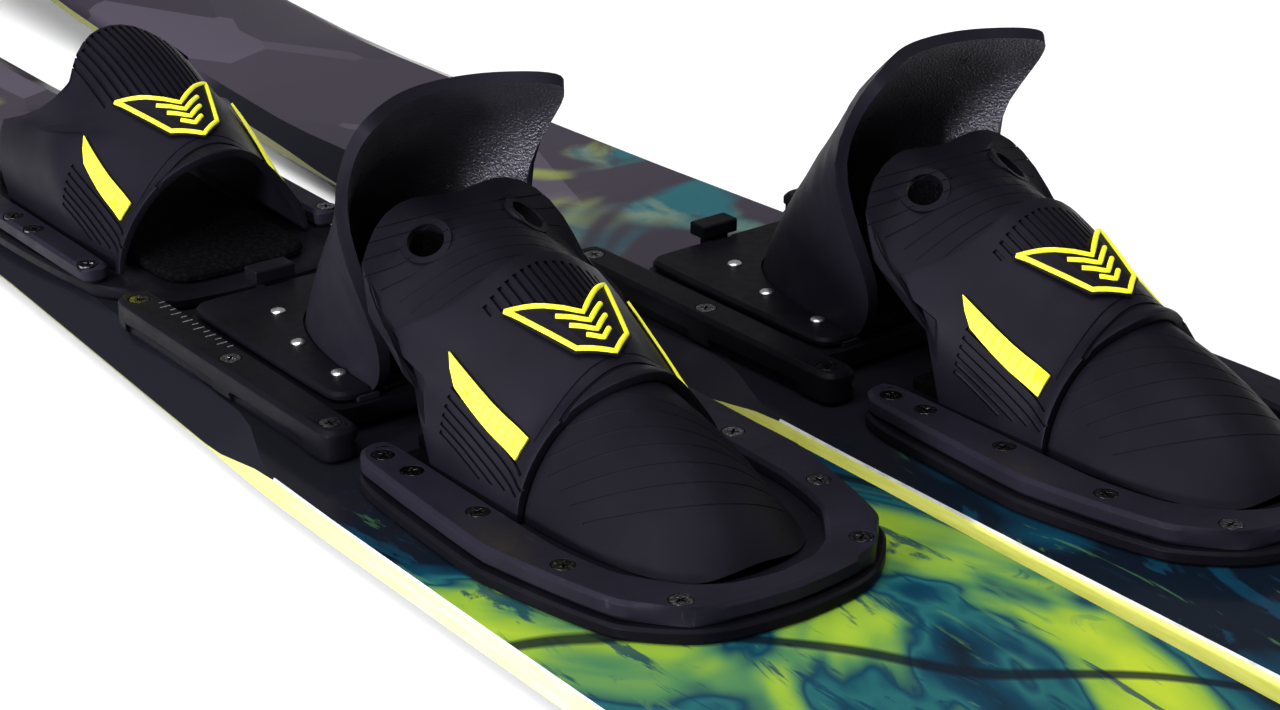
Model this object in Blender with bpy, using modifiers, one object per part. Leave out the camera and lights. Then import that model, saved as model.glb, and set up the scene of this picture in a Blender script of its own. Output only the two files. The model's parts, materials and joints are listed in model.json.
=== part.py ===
"""A pair of combo water skis with adjustable front bindings and one rear toe binding.

Ski A carries a front binding and a rear toe binding. Ski B carries a front binding only.
Sizes are millimetres in each ski's own frame: x runs to the tip, y to the skier's left of ski A,
z is up, x = 0 is the rearmost rail screw and z = 0 is the top of the rails and trim frames.
"""

import math

import bmesh
import bpy
import numpy as np
from mathutils import Vector

MM = 0.001
GAP = 0.3
FACET_ANGLE = math.radians(35)

# Board
DECK_Z = -14.1
BOARD_THICKNESS = 19.0
TIP_THICKNESS = 9.0
TAIL_THICKNESS = 11.0
TAIL_X = -650.0
TIP_X = 1052.0
WIDTH_STATIONS = (
    (-650, 50), (-370, 57), (-214, 66), (-113, 71), (82, 83), (172, 89), (450, 90), (760, 87), (1052, 74),
)
TIP_ROUND = 210.0
TAIL_ROUND = 26.0
TIP_RISE_START = 520.0
TIP_RISE = 112.0
TAIL_RISE_START = -230.0
TAIL_RISE = 42.0
SIDEWALL_DROP = 10.0
BASE_BEVEL = 11.0
TUNNEL_DEPTH = 3.0
TUNNEL_HALF = 26.0
FRONT_ZONE = (96.0, 156.0)
REAR_ZONE = (-270.0, -190.0)
MID_BEVEL = 16.0
REAR_BEVEL = 11.0
REAR_SIDEWALL_TOP = -5.0
EDGE_ROUND = 0.8

# Place of ski B beside ski A
SKI_B_X = 69.0
SKI_B_Y = 181.6
SKI_B_YAW = math.radians(1.5)

# Fin
FIN_FRONT_X = -545.0
FIN_REAR_X = -636.0
FIN_FOOT_HALF = 9.0
FIN_FOOT_THICKNESS = 2.6
FIN_HALF_THICKNESS = 1.7

# Rails
RAIL_PITCH = 76.2
RAIL_SCREW_Y = 60.4
RAIL_REAR_X = -10.0
RAIL_FRONT_X = 162.0
RAIL_INNER_Y = 51.2
RAIL_OUTER_Y = 68.0
RAIL_CORNER = 6.0
RAIL_EDGE_ROUND = 1.8
GROOVE_DEPTH = 4.4
GROOVE_BOTTOM = -9.4
GROOVE_TOP = -4.9
RAIL_NOTCHES = ((1.0, 74.0), (88.0, 144.0))
RAIL_NOTCH_TOP = -8.6
RAIL_NOTCH_DEPTH = 2.2

# Counterbores for the screw heads
COUNTERBORE_RADIUS = 4.8
COUNTERBORE_DEPTH = 2.5

# Heel slider
SLIDER_REAR_X = 20.0
SLIDER_FRONT_X = 140.0
SLIDER_CORNER = 8.0
SLIDER_SIDE_CLEARANCE = 0.6
SLIDER_HALF = RAIL_INNER_Y - SLIDER_SIDE_CLEARANCE
SLIDER_BOTTOM = -10.6
SLIDER_TOP = -3.2
TONGUE_CLEARANCE = 0.4
TONGUE_END_CLEARANCE = 1.1
TONGUE_BOTTOM = GROOVE_BOTTOM + TONGUE_CLEARANCE
TONGUE_TOP = GROOVE_TOP - TONGUE_CLEARANCE
TONGUE_REACH = GROOVE_DEPTH + SLIDER_SIDE_CLEARANCE - TONGUE_END_CLEARANCE
FLANGE_THICKNESS = 2.0
FLANGE_REACH = 7.0
PLATE_BOTTOM = SLIDER_TOP + FLANGE_THICKNESS + 2 * GAP
PLATE_TOP = PLATE_BOTTOM + 2.1
PLATE_HALF = SLIDER_HALF - 2.0
PLATE_FRONT_X = SLIDER_FRONT_X - 3.5
PLATE_EDGE_ROUND = 1.4

# Heel lock
LOCK_Y = -7.0
LOCK_HALF = 5.4
LOCK_PIVOT_X = 62.0
LOCK_PIVOT_Z = -7.2
LOCK_ARM_HALF = 1.5
LOCK_PIN_RADIUS = 1.2
LOCK_PIN_REACH = 9.6
LOCK_PIN_CLEARANCE = 0.1
LOCK_SLOT_CLEARANCE = 0.5
LOCK_NECK_REAR_X = SLIDER_REAR_X - 7.4
LOCK_NECK_FRONT_X = SLIDER_REAR_X - 0.6
LOCK_NOTCH_X = SLIDER_REAR_X + 2.5
LOCK_NECK_BOTTOM = -7.6
LOCK_HEAD_BOTTOM = PLATE_TOP + 0.6
LOCK_HEAD_TOP = LOCK_HEAD_BOTTOM + 5.9
LOCK_HEAD_HALF = 9.6
LOCK_TOOTH_X = 42.3
LOCK_TOOTH_LIFT = 0.3
RACK_NOTCHES_BEHIND = 3
RACK_NOTCHES_AHEAD = 1
RACK_HALF = 6.0
RACK_CLEARANCE = 0.6
RACK_TOP = SLIDER_BOTTOM - RACK_CLEARANCE
RACK_ROOT = DECK_Z + 1.0
RACK_PITCH = 9.525
TOOTH_WIDTH = 3.4

# Heel cup, from the base up: the back (x, z), how wide it is rounded and how wide it flares, and
# the free front edge (x, y, z)
HEEL_WALL = 5.0
HEEL_BACK = ((50, -1.9), (50, 4.2), (58, 20), (69, 38), (84, 57), (102, 78), (121, 100), (141, 121.5))
HEEL_ROUND = (20, 20, 21, 22, 23, 23, 22, 22)
HEEL_FLARE = (34, 34, 33.5, 33.5, 34, 34, 31, 28)
HEEL_EDGE = (
    (134, 31.5, -1.9), (141, 32, 4.2), (148, 34.5, 19), (146, 39, 36),
    (138, 43, 56), (134.5, 45.5, 77), (141, 47.5, 100), (163, 50, 121),
)
HEEL_PAD_TOP = 2.6
HEEL_PAD_GAP = 1.2

# Front base plate, trim frame and footbed
BASE_TOP = -8.0
BASE_MARGIN = 3.0
FRAME_BOTTOM = BASE_TOP + GAP
FRAME_REAR_X = 177.0
FRAME_EDGE_ROUND = 1.6
FRAME_SCREWS = ((188.7, 59.5), (206.6, 58.2), (249.1, 57.5), (300.6, 56.8), (345.1, 39.7))
FRAME_OUTER = ((177.0, 61.5), (184.5, 67.5), (215, 69.5), (272, 72), (334, 60), (357, 38), (360, 0))
FRAME_INNER = ((177.0, 50), (288, 50), (318, 45), (338, 33), (346, 18), (348, 0))
REBATE_REACH = 5.6
REBATE_TOP = -5.0
FOOTBED_TOP = -3.4
FOOTBED_REAR_X = 176.0
FOOTBED_FRONT_X = 290.0
FOOTBED_INSET = 14.0

# Toe wrap: key sections from the neck rim to the nose. Each is half a section, given as nine
# points from the crest down to the foot.
BOOT_FOOT_Z = -4.9
BOOT_COLUMNS = 17
WRAP_WALL = 3.6
WRAP_FLANGE_CLEARANCE = 0.4
WRAP_FLANGE_TOP = REBATE_TOP - WRAP_FLANGE_CLEARANCE
WRAP_FLANGE_REACH = 4.6
WRAP_FLANGE_INSET = 10.5
WRAP_FLANGE_REAR_X = 206.0
BOOT_SECTIONS = (
    ((147, 0, 76), (148, 13, 80), (148, 25, 80), (150, 37, 73.5), (156, 46, 62), (167, 47, 48.5),
     (187, 47.5, 38.5), (199, 47.5, 22), (204, 45, BOOT_FOOT_Z)),
    ((165, 0, 74.5), (165, 12, 73), (164, 25, 66.5), (165, 36, 57), (170, 43.5, 47), (180, 47, 38),
     (194, 47.5, 28), (205, 47, 14), (209, 45, BOOT_FOOT_Z)),
    ((188, 0, 70), (188, 12, 68), (188, 23, 61), (189, 33, 51.5), (192, 40, 41.5), (197, 45, 31),
     (204, 46.5, 21), (211, 46.3, 9), (214, 45, BOOT_FOOT_Z)),
    ((208, 0, 62.5), (208, 11, 61), (208, 21, 54.5), (208, 30, 46), (209, 37, 36.5), (211, 42, 27),
     (214, 45, 18), (218, 45.3, 7.5), (221, 44.8, BOOT_FOOT_Z)),
    ((230, 0, 53), (230, 10, 51), (230, 19, 45), (230, 27, 37), (231, 33.5, 28.5), (232, 38.5, 20),
     (234, 42, 12), (236, 44, 4), (237, 44.5, BOOT_FOOT_Z)),
    ((254, 0, 43), (254, 8, 41.5), (253, 16, 36.5), (252, 23, 30), (251, 29.5, 22.5), (251, 35, 15),
     (252, 39.5, 8), (253, 42.5, 1), (254, 44, BOOT_FOOT_Z)),
    ((281, 0, 36), (281, 9, 34.5), (280, 18, 29.5), (279, 25.5, 22.5), (278, 32, 15), (277, 37, 8),
     (277, 40.5, 2), (277, 42.5, -2), (277, 43, BOOT_FOOT_Z)),
    ((306, 0, 25.5), (306, 8.5, 24), (305, 16.5, 20), (304, 24, 14), (303, 30, 7.5), (302, 34.5, 2),
     (301, 37.5, -2), (301, 39, -4), (300, 39.5, BOOT_FOOT_Z)),
    ((327, 0, 12), (327, 7, 11), (327, 13.5, 8), (326, 19.5, 4), (325, 24.5, 0), (323.5, 28, -2.5),
     (322, 30.5, -4), (321, 32, -4.6), (320, 33, BOOT_FOOT_Z)),
    ((340, 0, BOOT_FOOT_Z), (340, 4, BOOT_FOOT_Z), (339.5, 8, BOOT_FOOT_Z), (338.5, 12, BOOT_FOOT_Z),
     (337.5, 15.5, BOOT_FOOT_Z), (336, 19, BOOT_FOOT_Z), (334, 22, BOOT_FOOT_Z), (332, 25, BOOT_FOOT_Z),
     (329.5, 28, BOOT_FOOT_Z)),
)
HOLE_U = 0.225
HOLE_V = 1.0
HOLE_RADIUS = 7.4
HOLE_RING_RADIUS = 10.2
HOLE_RING_HEIGHT = 1.2

# Overlay band: a second rubber layer over the instep, also used alone as the rear toe piece
OVERLAY_GAP = 0.8
OVERLAY_WALL = 2.8
OVERLAY_LIP = 1.3
OVERLAY_REAR_V = 2.45
OVERLAY_FOOT_REAR_V = 0.15
OVERLAY_FRONT_V = 5.45
OVERLAY_FOOT_FRONT_V = 5.2
OVERLAY_SWEEP_U = (0.25, 0.8)
INLAY_HEIGHT = 1.0
INLAY_GAP = 0.7

# Rear toe binding on ski A
RTP_X = -302.0
RTP_Z = BASE_TOP
RTP_SCREWS = ((-120.4, 59.0), (-100.5, 59.0), (-48.8, 59.0))
RTP_FRONT_X = -37.5
RTP_REAR_X = -206.0
RTP_HALF = 67.1
RTP_BAR_FRONT_X = -43.0
RTP_BAR_REAR_X = -196.0
RTP_BAR_INNER = 50.6
RTP_BAR_OUTER = 64.0
RTP_NOSE_HALF = 46.0
RTP_NOSE_X = -4.0
RTP_CREST_V = 1.2
RTP_SADDLE_V = 2.4
RTP_WING_REACH = 58.0
RTP_WING_FALL = 0.2

BLACK_RUBBER = ("black_rubber", (0.022, 0.021, 0.026), 0.62, 0.0)
BLACK_PLASTIC = ("black_plastic", (0.018, 0.018, 0.021), 0.45, 0.0)
NEON_RUBBER = ("neon_rubber", (0.78, 0.86, 0.02), 0.5, 0.0)
BOARD_LACQUER = ("board_lacquer", (0.06, 0.12, 0.16), 0.12, 0.0)
FIN_PLASTIC = ("fin_plastic", (0.02, 0.02, 0.02), 0.4, 0.0)
FOAM = ("footbed_foam", (0.03, 0.03, 0.033), 0.8, 0.0)


def clear_scene():
    for obj in list(bpy.data.objects):
        bpy.data.objects.remove(obj, do_unlink=True)


def new_collection(name, hidden=False):
    collection = bpy.data.collections.new(name)
    bpy.context.scene.collection.children.link(collection)
    collection.hide_render = hidden
    return collection


def material(spec):
    name, colour, roughness, metallic = spec
    found = bpy.data.materials.get(name)
    if found:
        return found
    made = bpy.data.materials.new(name)
    made.use_nodes = True
    shader = made.node_tree.nodes["Principled BSDF"]
    shader.inputs["Base Color"].default_value = (*colour, 1.0)
    shader.inputs["Roughness"].default_value = roughness
    shader.inputs["Metallic"].default_value = metallic
    return made


def empty(name, parent, location=(0, 0, 0), yaw=0.0):
    made = bpy.data.objects.new(name, None)
    made.empty_display_size = 0.02
    PARTS.objects.link(made)
    made.parent = parent
    made.location = Vector(location) * MM
    made.rotation_euler = (0, 0, yaw)
    return made


def place(name, mesh, spec, parent, location=(0, 0, 0), yaw=0.0):
    """An object of the model, from a mesh in millimetres about its own origin."""
    made = bpy.data.objects.new(name, mesh)
    PARTS.objects.link(made)
    made.parent = parent
    made.location = Vector(location) * MM
    made.rotation_euler = (0, 0, yaw)
    mesh.materials.append(material(spec))
    return made


def cutter(target, mesh, operation="DIFFERENCE", location=(0, 0, 0)):
    """Cuts a closed mesh from the target, or joins it, in the target's own frame."""
    made = bpy.data.objects.new(target.name + "_cutter", mesh)
    CUTTERS.objects.link(made)
    made.hide_render = True
    made.display_type = "WIRE"
    made.parent = target
    made.location = Vector(location) * MM
    modifier = target.modifiers.new("cut", "BOOLEAN")
    modifier.operation = operation
    modifier.solver = "EXACT"
    modifier.object = made
    return made


def bevel(target, width, segments=1, angle=50):
    modifier = target.modifiers.new("edge", "BEVEL")
    modifier.width = width * MM
    modifier.segments = segments
    modifier.limit_method = "ANGLE"
    modifier.angle_limit = math.radians(angle)


def face_outwards(bm):
    bmesh.ops.recalc_face_normals(bm, faces=bm.faces)
    if bm.calc_volume(signed=True) < 0:
        bmesh.ops.reverse_faces(bm, faces=bm.faces)


def finish_mesh(bm, name, smooth=True):
    """Scales a bmesh from millimetres, points its faces outwards and makes it a mesh."""
    bmesh.ops.remove_doubles(bm, verts=bm.verts, dist=0.002)
    face_outwards(bm)
    bmesh.ops.scale(bm, vec=(MM, MM, MM), verts=bm.verts)
    mesh = bpy.data.meshes.new(name)
    bm.to_mesh(mesh)
    bm.free()
    if smooth:
        mesh.shade_smooth()
        mesh.set_sharp_from_angle(angle=FACET_ANGLE)
    return mesh


def loft(name, rings):
    """A closed solid through rings of points, each ring with the same number of points."""
    bm = bmesh.new()
    rows = [[bm.verts.new(point) for point in ring] for ring in rings]
    count = len(rings[0])
    for low, high in zip(rows[:-1], rows[1:]):
        for i in range(count):
            j = (i + 1) % count
            bm.faces.new((low[i], low[j], high[j], high[i]))
    bm.faces.new(rows[0])
    bm.faces.new(reversed(rows[-1]))
    return finish_mesh(bm, name)


def thick_sheet(name, inner, outer):
    """A closed solid between two grids of points of the same size."""
    bm = bmesh.new()
    sides = [[[bm.verts.new(point) for point in row] for row in grid] for grid in (inner, outer)]
    rows, columns = len(inner), len(inner[0])
    for side in sides:
        for i in range(rows - 1):
            for j in range(columns - 1):
                bm.faces.new((side[i][j], side[i][j + 1], side[i + 1][j + 1], side[i + 1][j]))
    border = [(0, j) for j in range(columns)]
    border += [(i, columns - 1) for i in range(1, rows)]
    border += [(rows - 1, j) for j in range(columns - 2, -1, -1)]
    border += [(i, 0) for i in range(rows - 2, 0, -1)]
    for (a, b), (c, d) in zip(border, border[1:] + border[:1]):
        bm.faces.new((sides[0][a][b], sides[0][c][d], sides[1][c][d], sides[1][a][b]))
    return finish_mesh(bm, name)


def plate_mesh(name, outline, bottom, top):
    """A flat plate: a filled 2D curve with half its thickness extruded each way."""
    curve = bpy.data.curves.new(name, "CURVE")
    curve.dimensions = "2D"
    curve.fill_mode = "BOTH"
    curve.extrude = (top - bottom) / 2 * MM
    spline = curve.splines.new("POLY")
    spline.points.add(len(outline) - 1)
    spline.use_cyclic_u = True
    for point, (x, y) in zip(spline.points, outline):
        point.co = (x * MM, y * MM, 0, 1)
    holder = bpy.data.objects.new(name, curve)
    bpy.context.scene.collection.objects.link(holder)
    bpy.context.view_layer.update()
    graph = bpy.context.evaluated_depsgraph_get()
    mesh = bpy.data.meshes.new_from_object(holder.evaluated_get(graph))
    bpy.data.objects.remove(holder, do_unlink=True)
    bpy.data.curves.remove(curve)
    bm = bmesh.new()
    bm.from_mesh(mesh)
    bmesh.ops.remove_doubles(bm, verts=bm.verts, dist=0.002 * MM)
    bmesh.ops.dissolve_limit(bm, angle_limit=0.01, verts=bm.verts, edges=bm.edges)
    bmesh.ops.translate(bm, vec=(0, 0, (top + bottom) / 2 * MM), verts=bm.verts)
    face_outwards(bm)
    bm.to_mesh(mesh)
    bm.free()
    return mesh


def box_mesh(name, low, high):
    bm = bmesh.new()
    bmesh.ops.create_cube(bm, size=1.0)
    size = Vector(high) - Vector(low)
    bmesh.ops.scale(bm, vec=size, verts=bm.verts)
    bmesh.ops.translate(bm, vec=(Vector(high) + Vector(low)) / 2, verts=bm.verts)
    return finish_mesh(bm, name, smooth=False)


def turned_mesh(name, profile, sides=12):
    """A turned solid: each profile point (radius, z) is one ring, and both ends are closed."""
    angles = [2 * math.pi * i / sides for i in range(sides)]
    rings = [[(r * math.cos(a), r * math.sin(a), z) for a in angles] for r, z in profile]
    return loft(name, rings)


def mirrored(outline):
    """The whole outline, from half of it running from the back at +y to the front centre."""
    return list(outline) + [(x, -y) for x, y in reversed(outline) if y > 0]


def rounded(outline, radius, steps=3, square_x=None):
    """An outline with its corners rounded by arcs, each no larger than its sides allow.

    Corners at x = square_x stay square."""
    points = [Vector(point) for point in outline]
    done = []
    for i, corner in enumerate(points):
        before = points[i - 1] - corner
        after = points[(i + 1) % len(points)] - corner
        turn = before.angle(after)
        reach = min(radius / math.tan(turn / 2), before.length * 0.45, after.length * 0.45)
        arc_radius = reach * math.tan(turn / 2)
        middle = (before.normalized() + after.normalized()).normalized()
        if corner.x == square_x or turn > math.radians(172):
            done.append(tuple(corner))
            continue
        centre = corner + middle * (arc_radius / math.sin(turn / 2))
        start = corner + before.normalized() * reach - centre
        end = corner + after.normalized() * reach - centre
        for step in range(steps + 1):
            mix = start.slerp(end, step / steps)
            done.append(tuple(centre + mix * arc_radius))
    return done


def offset_outline(outline, distance):
    """An outline moved outwards by a distance, for outlines that run anticlockwise."""
    points = [Vector(point) for point in outline]
    moved = []
    for i, corner in enumerate(points):
        before = (corner - points[i - 1]).normalized()
        after = (points[(i + 1) % len(points)] - corner).normalized()
        normal_a = Vector((before.y, -before.x))
        normal_b = Vector((after.y, -after.x))
        middle = (normal_a + normal_b).normalized()
        moved.append(tuple(corner + middle * (distance / max(0.4, middle.dot(normal_a)))))
    return moved


def along(table, t):
    """The point at t on a smooth curve through the table's entries, one unit of t apart."""
    values = np.array(table, float)
    last = len(values) - 1
    i = min(int(max(t, 0.0)), last - 1)
    f = t - i
    before = values[i - 1] if i > 0 else 2 * values[0] - values[1]
    after = values[i + 2] if i + 2 <= last else 2 * values[last] - values[last - 1]
    p, q = values[i], values[i + 1]
    slope_p = (q - before) / 2
    slope_q = (after - p) / 2
    return (
        p * (2 * f**3 - 3 * f**2 + 1)
        + slope_p * (f**3 - 2 * f**2 + f)
        + q * (3 * f**2 - 2 * f**3)
        + slope_q * (f**3 - f**2)
    )


def along_half(points, t):
    """The point at t on a half section, whose other half is its mirror image in y."""
    x, y, z = points[1]
    return along(((x, -y, z),) + tuple(points), t + 1)


def cubic(points, t):
    a, b, c, d = (np.array(point, float) for point in points)
    s = 1 - t
    return a * s**3 + 3 * b * s**2 * t + 3 * c * s * t**2 + d * t**3


def smoothstep(low, high, value):
    t = min(1.0, max(0.0, (value - low) / (high - low)))
    return t * t * (3 - 2 * t)


def surface_grid(surface, us, vs, offset=0.0):
    """Rows of points on a surface, moved along its outward normal by offset(u, v) or a number."""
    rows = []
    for v in vs:
        row = []
        for u in us:
            here = surface(u, v)
            lift = offset(u, v) if callable(offset) else offset
            if lift:
                here = here + surface_normal(surface, u, v) * lift
            row.append(tuple(here))
        rows.append(row)
    return rows


def surface_normal(surface, u, v):
    step = 0.002
    du = surface(u + step, v) - surface(u - step, v)
    dv = surface(u, v + step) - surface(u, v - step)
    normal = np.cross(dv, du)
    return normal / np.linalg.norm(normal)


# Board

def half_width(x):
    """Half the board's width at its lower edge, before the tip and tail are rounded."""
    stations = np.array(WIDTH_STATIONS, float)
    i = int(np.clip(np.searchsorted(stations[:, 0], x) - 1, 0, len(stations) - 2))
    t = i + (x - stations[i, 0]) / (stations[i + 1, 0] - stations[i, 0])
    return float(along(stations[:, 1:], t)[0])


def rounded_width(x):
    width = half_width(x)
    tip = min(1.0, max(0.0, (x - (TIP_X - TIP_ROUND)) / TIP_ROUND))
    tail = min(1.0, max(0.0, (TAIL_X + TAIL_ROUND - x) / TAIL_ROUND))
    return width * (1 - tip**2.3) ** (1 / 2.3) * (1 - 0.32 * tail**2.5)


def underside(x):
    tip = max(0.0, (x - TIP_RISE_START) / (TIP_X - TIP_RISE_START))
    tail = max(0.0, (TAIL_RISE_START - x) / (TAIL_RISE_START - TAIL_X))
    return DECK_Z - BOARD_THICKNESS + TIP_RISE * tip**2 + TAIL_RISE * tail**2


def thickness(x):
    tip = smoothstep(TIP_RISE_START, TIP_X, x)
    tail = smoothstep(TAIL_RISE_START, TAIL_X, x) if x < TAIL_RISE_START else 0.0
    thinner_at_tip = (TIP_THICKNESS - BOARD_THICKNESS) * tip
    thinner_at_tail = (TAIL_THICKNESS - BOARD_THICKNESS) * tail
    return BOARD_THICKNESS + thinner_at_tip + thinner_at_tail


def tail_share(x):
    return 1 - smoothstep(REAR_ZONE[0], REAR_ZONE[1], x)


def board_ring(x):
    """One section of the board: deck, side bevel, sidewall, base bevel and tunnel."""
    width = rounded_width(x)
    low = underside(x)
    depth = thickness(x)
    top = low + depth
    front = smoothstep(FRONT_ZONE[0], FRONT_ZONE[1], x)
    rear = tail_share(x)
    mid_bevel = MID_BEVEL + (REAR_BEVEL - MID_BEVEL) * rear
    scale = depth / BOARD_THICKNESS
    drop = SIDEWALL_DROP * scale
    mid_top = -drop + EDGE_ROUND + (REAR_SIDEWALL_TOP * scale + drop - EDGE_ROUND) * rear
    deck = width - EDGE_ROUND * front - min(mid_bevel, 0.4 * width) * (1 - front)
    wall_top = top - EDGE_ROUND * front + mid_top * (1 - front)
    wall_low = top - drop
    base = width - min(BASE_BEVEL, 0.3 * width)
    tunnel = min(TUNNEL_HALF, base * 0.55)
    flat = base - min(12.0, 0.2 * base)
    half = [
        (deck, top), (width, wall_top), (width, wall_low), (base, low), (flat, low),
        (tunnel, low + TUNNEL_DEPTH * scale * 0.9), (0, low + TUNNEL_DEPTH * scale),
    ]
    ring = half + [(-y, z) for y, z in reversed(half[:-1])]
    return [(x, y, z) for y, z in ring]


def board_stations():
    tail = [TAIL_X + s for s in (0.0, 3.0, 8.0, 16.0, TAIL_ROUND)]
    rear = list(np.linspace(-590, REAR_ZONE[0], 7))
    mid = list(np.linspace(REAR_ZONE[0], REAR_ZONE[1], 4)[1:]) + [-100.0, 20.0]
    step = list(np.linspace(FRONT_ZONE[0], FRONT_ZONE[1], 5))
    front = [200.0, 300.0, 420.0, TIP_RISE_START]
    rise = list(np.linspace(TIP_RISE_START, TIP_X - TIP_ROUND, 7)[1:])
    tip = [TIP_X - TIP_ROUND * (1 - math.sin(a)) for a in np.linspace(0, math.radians(87.5), 10)[1:]]
    return tail + rear + mid + step + front + rise + tip


def make_board(name, parent):
    return place(name, loft(name, [board_ring(x) for x in board_stations()]), BOARD_LACQUER, parent)


def fin_depth(x):
    """How far the blade stands below the board, from its raked front to its upright rear."""
    length = FIN_FRONT_X - FIN_REAR_X
    t = (FIN_FRONT_X - x) / length
    full = tunnel_roof(x) - (DECK_Z - BOARD_THICKNESS)
    rake = min(1.0, max(0.03, t / 0.62)) ** 0.62
    trail = min(1.0, max(0.0, (1 - t) / 0.06)) ** 0.5
    return FIN_FOOT_THICKNESS + 0.6 + (full - FIN_FOOT_THICKNESS - 0.6) * rake * max(0.12, trail)


def tunnel_roof(x):
    return underside(x) + TUNNEL_DEPTH * thickness(x) / BOARD_THICKNESS - GAP


def make_fin(name, parent):
    """A moulded fin: a thin blade under a foot that follows the board's underside."""
    rings = []
    for x in np.linspace(FIN_FRONT_X, FIN_REAR_X, 16):
        roof = tunnel_roof(x) - TUNNEL_DEPTH * 0.1
        foot = FIN_FOOT_HALF * (1 - 0.75 * abs(2 * (FIN_FRONT_X - x) / (FIN_FRONT_X - FIN_REAR_X) - 1) ** 4)
        blade = FIN_HALF_THICKNESS
        low = tunnel_roof(x) - fin_depth(x)
        foot_low = roof - FIN_FOOT_THICKNESS
        half = [(foot, roof), (foot, foot_low), (blade, foot_low - 0.4), (blade * 0.55, low)]
        ring = half + [(-y, z) for y, z in reversed(half)]
        rings.append([(x, y, z) for y, z in ring])
    return place(name, loft(name, rings), FIN_PLASTIC, parent)


# Rails and their screws

def counterbore_mesh(name):
    """The pocket that a screw head sits in."""
    return turned_mesh(name, ((COUNTERBORE_RADIUS, -COUNTERBORE_DEPTH), (COUNTERBORE_RADIUS, 3.0)), sides=12)


def make_rail(name, side, parent):
    low, high = sorted((side * RAIL_INNER_Y, side * RAIL_OUTER_Y))
    outline = [(RAIL_REAR_X, low), (RAIL_FRONT_X, low), (RAIL_FRONT_X, high), (RAIL_REAR_X, high)]
    body = plate_mesh(name, rounded(outline, RAIL_CORNER), DECK_Z + GAP, 0)
    rail = place(name, body, BLACK_PLASTIC, parent)
    bevel(rail, RAIL_EDGE_ROUND)
    groove_low, groove_high = sorted((side * (RAIL_INNER_Y - 3), side * (RAIL_INNER_Y + GROOVE_DEPTH)))
    groove_rear, groove_front = RAIL_REAR_X - 5, RAIL_FRONT_X + 5
    groove = box_mesh(
        name + "_groove", (groove_rear, groove_low, GROOVE_BOTTOM), (groove_front, groove_high, GROOVE_TOP)
    )
    cutter(rail, groove)
    for start, end in RAIL_NOTCHES:
        notch_low, notch_high = sorted((side * (RAIL_OUTER_Y - RAIL_NOTCH_DEPTH), side * (RAIL_OUTER_Y + 4)))
        notch = box_mesh(name + "_notch", (start, notch_low, DECK_Z - 2), (end, notch_high, RAIL_NOTCH_TOP))
        cutter(rail, notch)
    for i in range(3):
        cutter(rail, counterbore_mesh(name + "_bore"), location=(i * RAIL_PITCH, side * RAIL_SCREW_Y, 0))
    return rail


# Heel slider, lock and cup

def heel_surface(u, v):
    """The heel cup's outer face. u runs from the near edge (-1) round the back (0) to the far edge (1)."""
    back_x, back_z = along(HEEL_BACK, v)
    edge_x, edge_y, edge_z = along(HEEL_EDGE, v)
    near, far = along(list(zip(HEEL_ROUND, HEEL_FLARE)), v)
    lead = 0.45
    half = (
        (back_x, 0, back_z),
        (back_x, near, back_z),
        (back_x + lead * (edge_x - back_x), far, back_z + lead * (edge_z - back_z)),
        (edge_x, edge_y, edge_z),
    )
    x, y, z = cubic(half, abs(u))
    return np.array((x, math.copysign(y, u) if u else 0.0, z))


def heel_outline(offset, steps=9):
    """The cup's outer wall at its base, moved outwards, as half an outline from the front to the back."""
    points = []
    for t in np.linspace(1, 0, steps):
        here = heel_surface(t, 0.5)
        normal = surface_normal(heel_surface, t, 0.5)
        flat = np.array((normal[0], normal[1])) / math.hypot(normal[0], normal[1])
        points.append((here[0] + flat[0] * offset, here[1] + flat[1] * offset))
    return points


def make_heel_cup(name, parent):
    us = list(np.linspace(-1, 1, 17))
    vs = [0.0, 0.5, 1.0, 1.5, 2.25, 3.0, 4.0, 5.0, 6.0, 6.55, 7.0]
    inner = surface_grid(heel_surface, us, vs, -HEEL_WALL)
    outer = surface_grid(heel_surface, us, vs)
    cup = place(name, thick_sheet(name, inner, outer), BLACK_RUBBER, parent)
    reach = heel_outline(FLANGE_REACH)
    keep = heel_outline(-HEEL_WALL * 0.5)
    ring = reach + [(x, -y) for x, y in reversed(reach[:-1])]
    ring += [(x, -y) for x, y in keep] + list(reversed(keep[:-1]))
    flange = plate_mesh(name + "_flange", ring, SLIDER_TOP + GAP, SLIDER_TOP + GAP + FLANGE_THICKNESS)
    cutter(cup, flange, "UNION")
    return cup


def slider_outline(half, front):
    outline = [(SLIDER_REAR_X, -half), (front, -half), (front, half), (SLIDER_REAR_X, half)]
    return rounded(outline, SLIDER_CORNER)


def lock_slot(name, front_x, low, high):
    """The room for the lock's arm, open at the slider's rear edge."""
    reach = LOCK_HALF + LOCK_SLOT_CLEARANCE
    return box_mesh(name, (SLIDER_REAR_X - 6, LOCK_Y - reach, low), (front_x, LOCK_Y + reach, high))


def make_slider_base(name, parent):
    body = plate_mesh(name, slider_outline(SLIDER_HALF, SLIDER_FRONT_X), SLIDER_BOTTOM, SLIDER_TOP)
    base = place(name, body, BLACK_PLASTIC, parent)
    tongue_outline = slider_outline(SLIDER_HALF + TONGUE_REACH, SLIDER_FRONT_X - 4)
    tongue = plate_mesh(name + "_tongue", tongue_outline, TONGUE_BOTTOM, TONGUE_TOP)
    cutter(base, tongue, "UNION")
    cutter(base, lock_slot(name + "_slot", LOCK_PIVOT_X + 4.0, SLIDER_BOTTOM - 2, SLIDER_TOP + 2))
    cutter(base, pin_mesh(name + "_pin_hole", LOCK_PIN_RADIUS + LOCK_PIN_CLEARANCE, LOCK_PIN_REACH + GAP))
    return base


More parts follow.
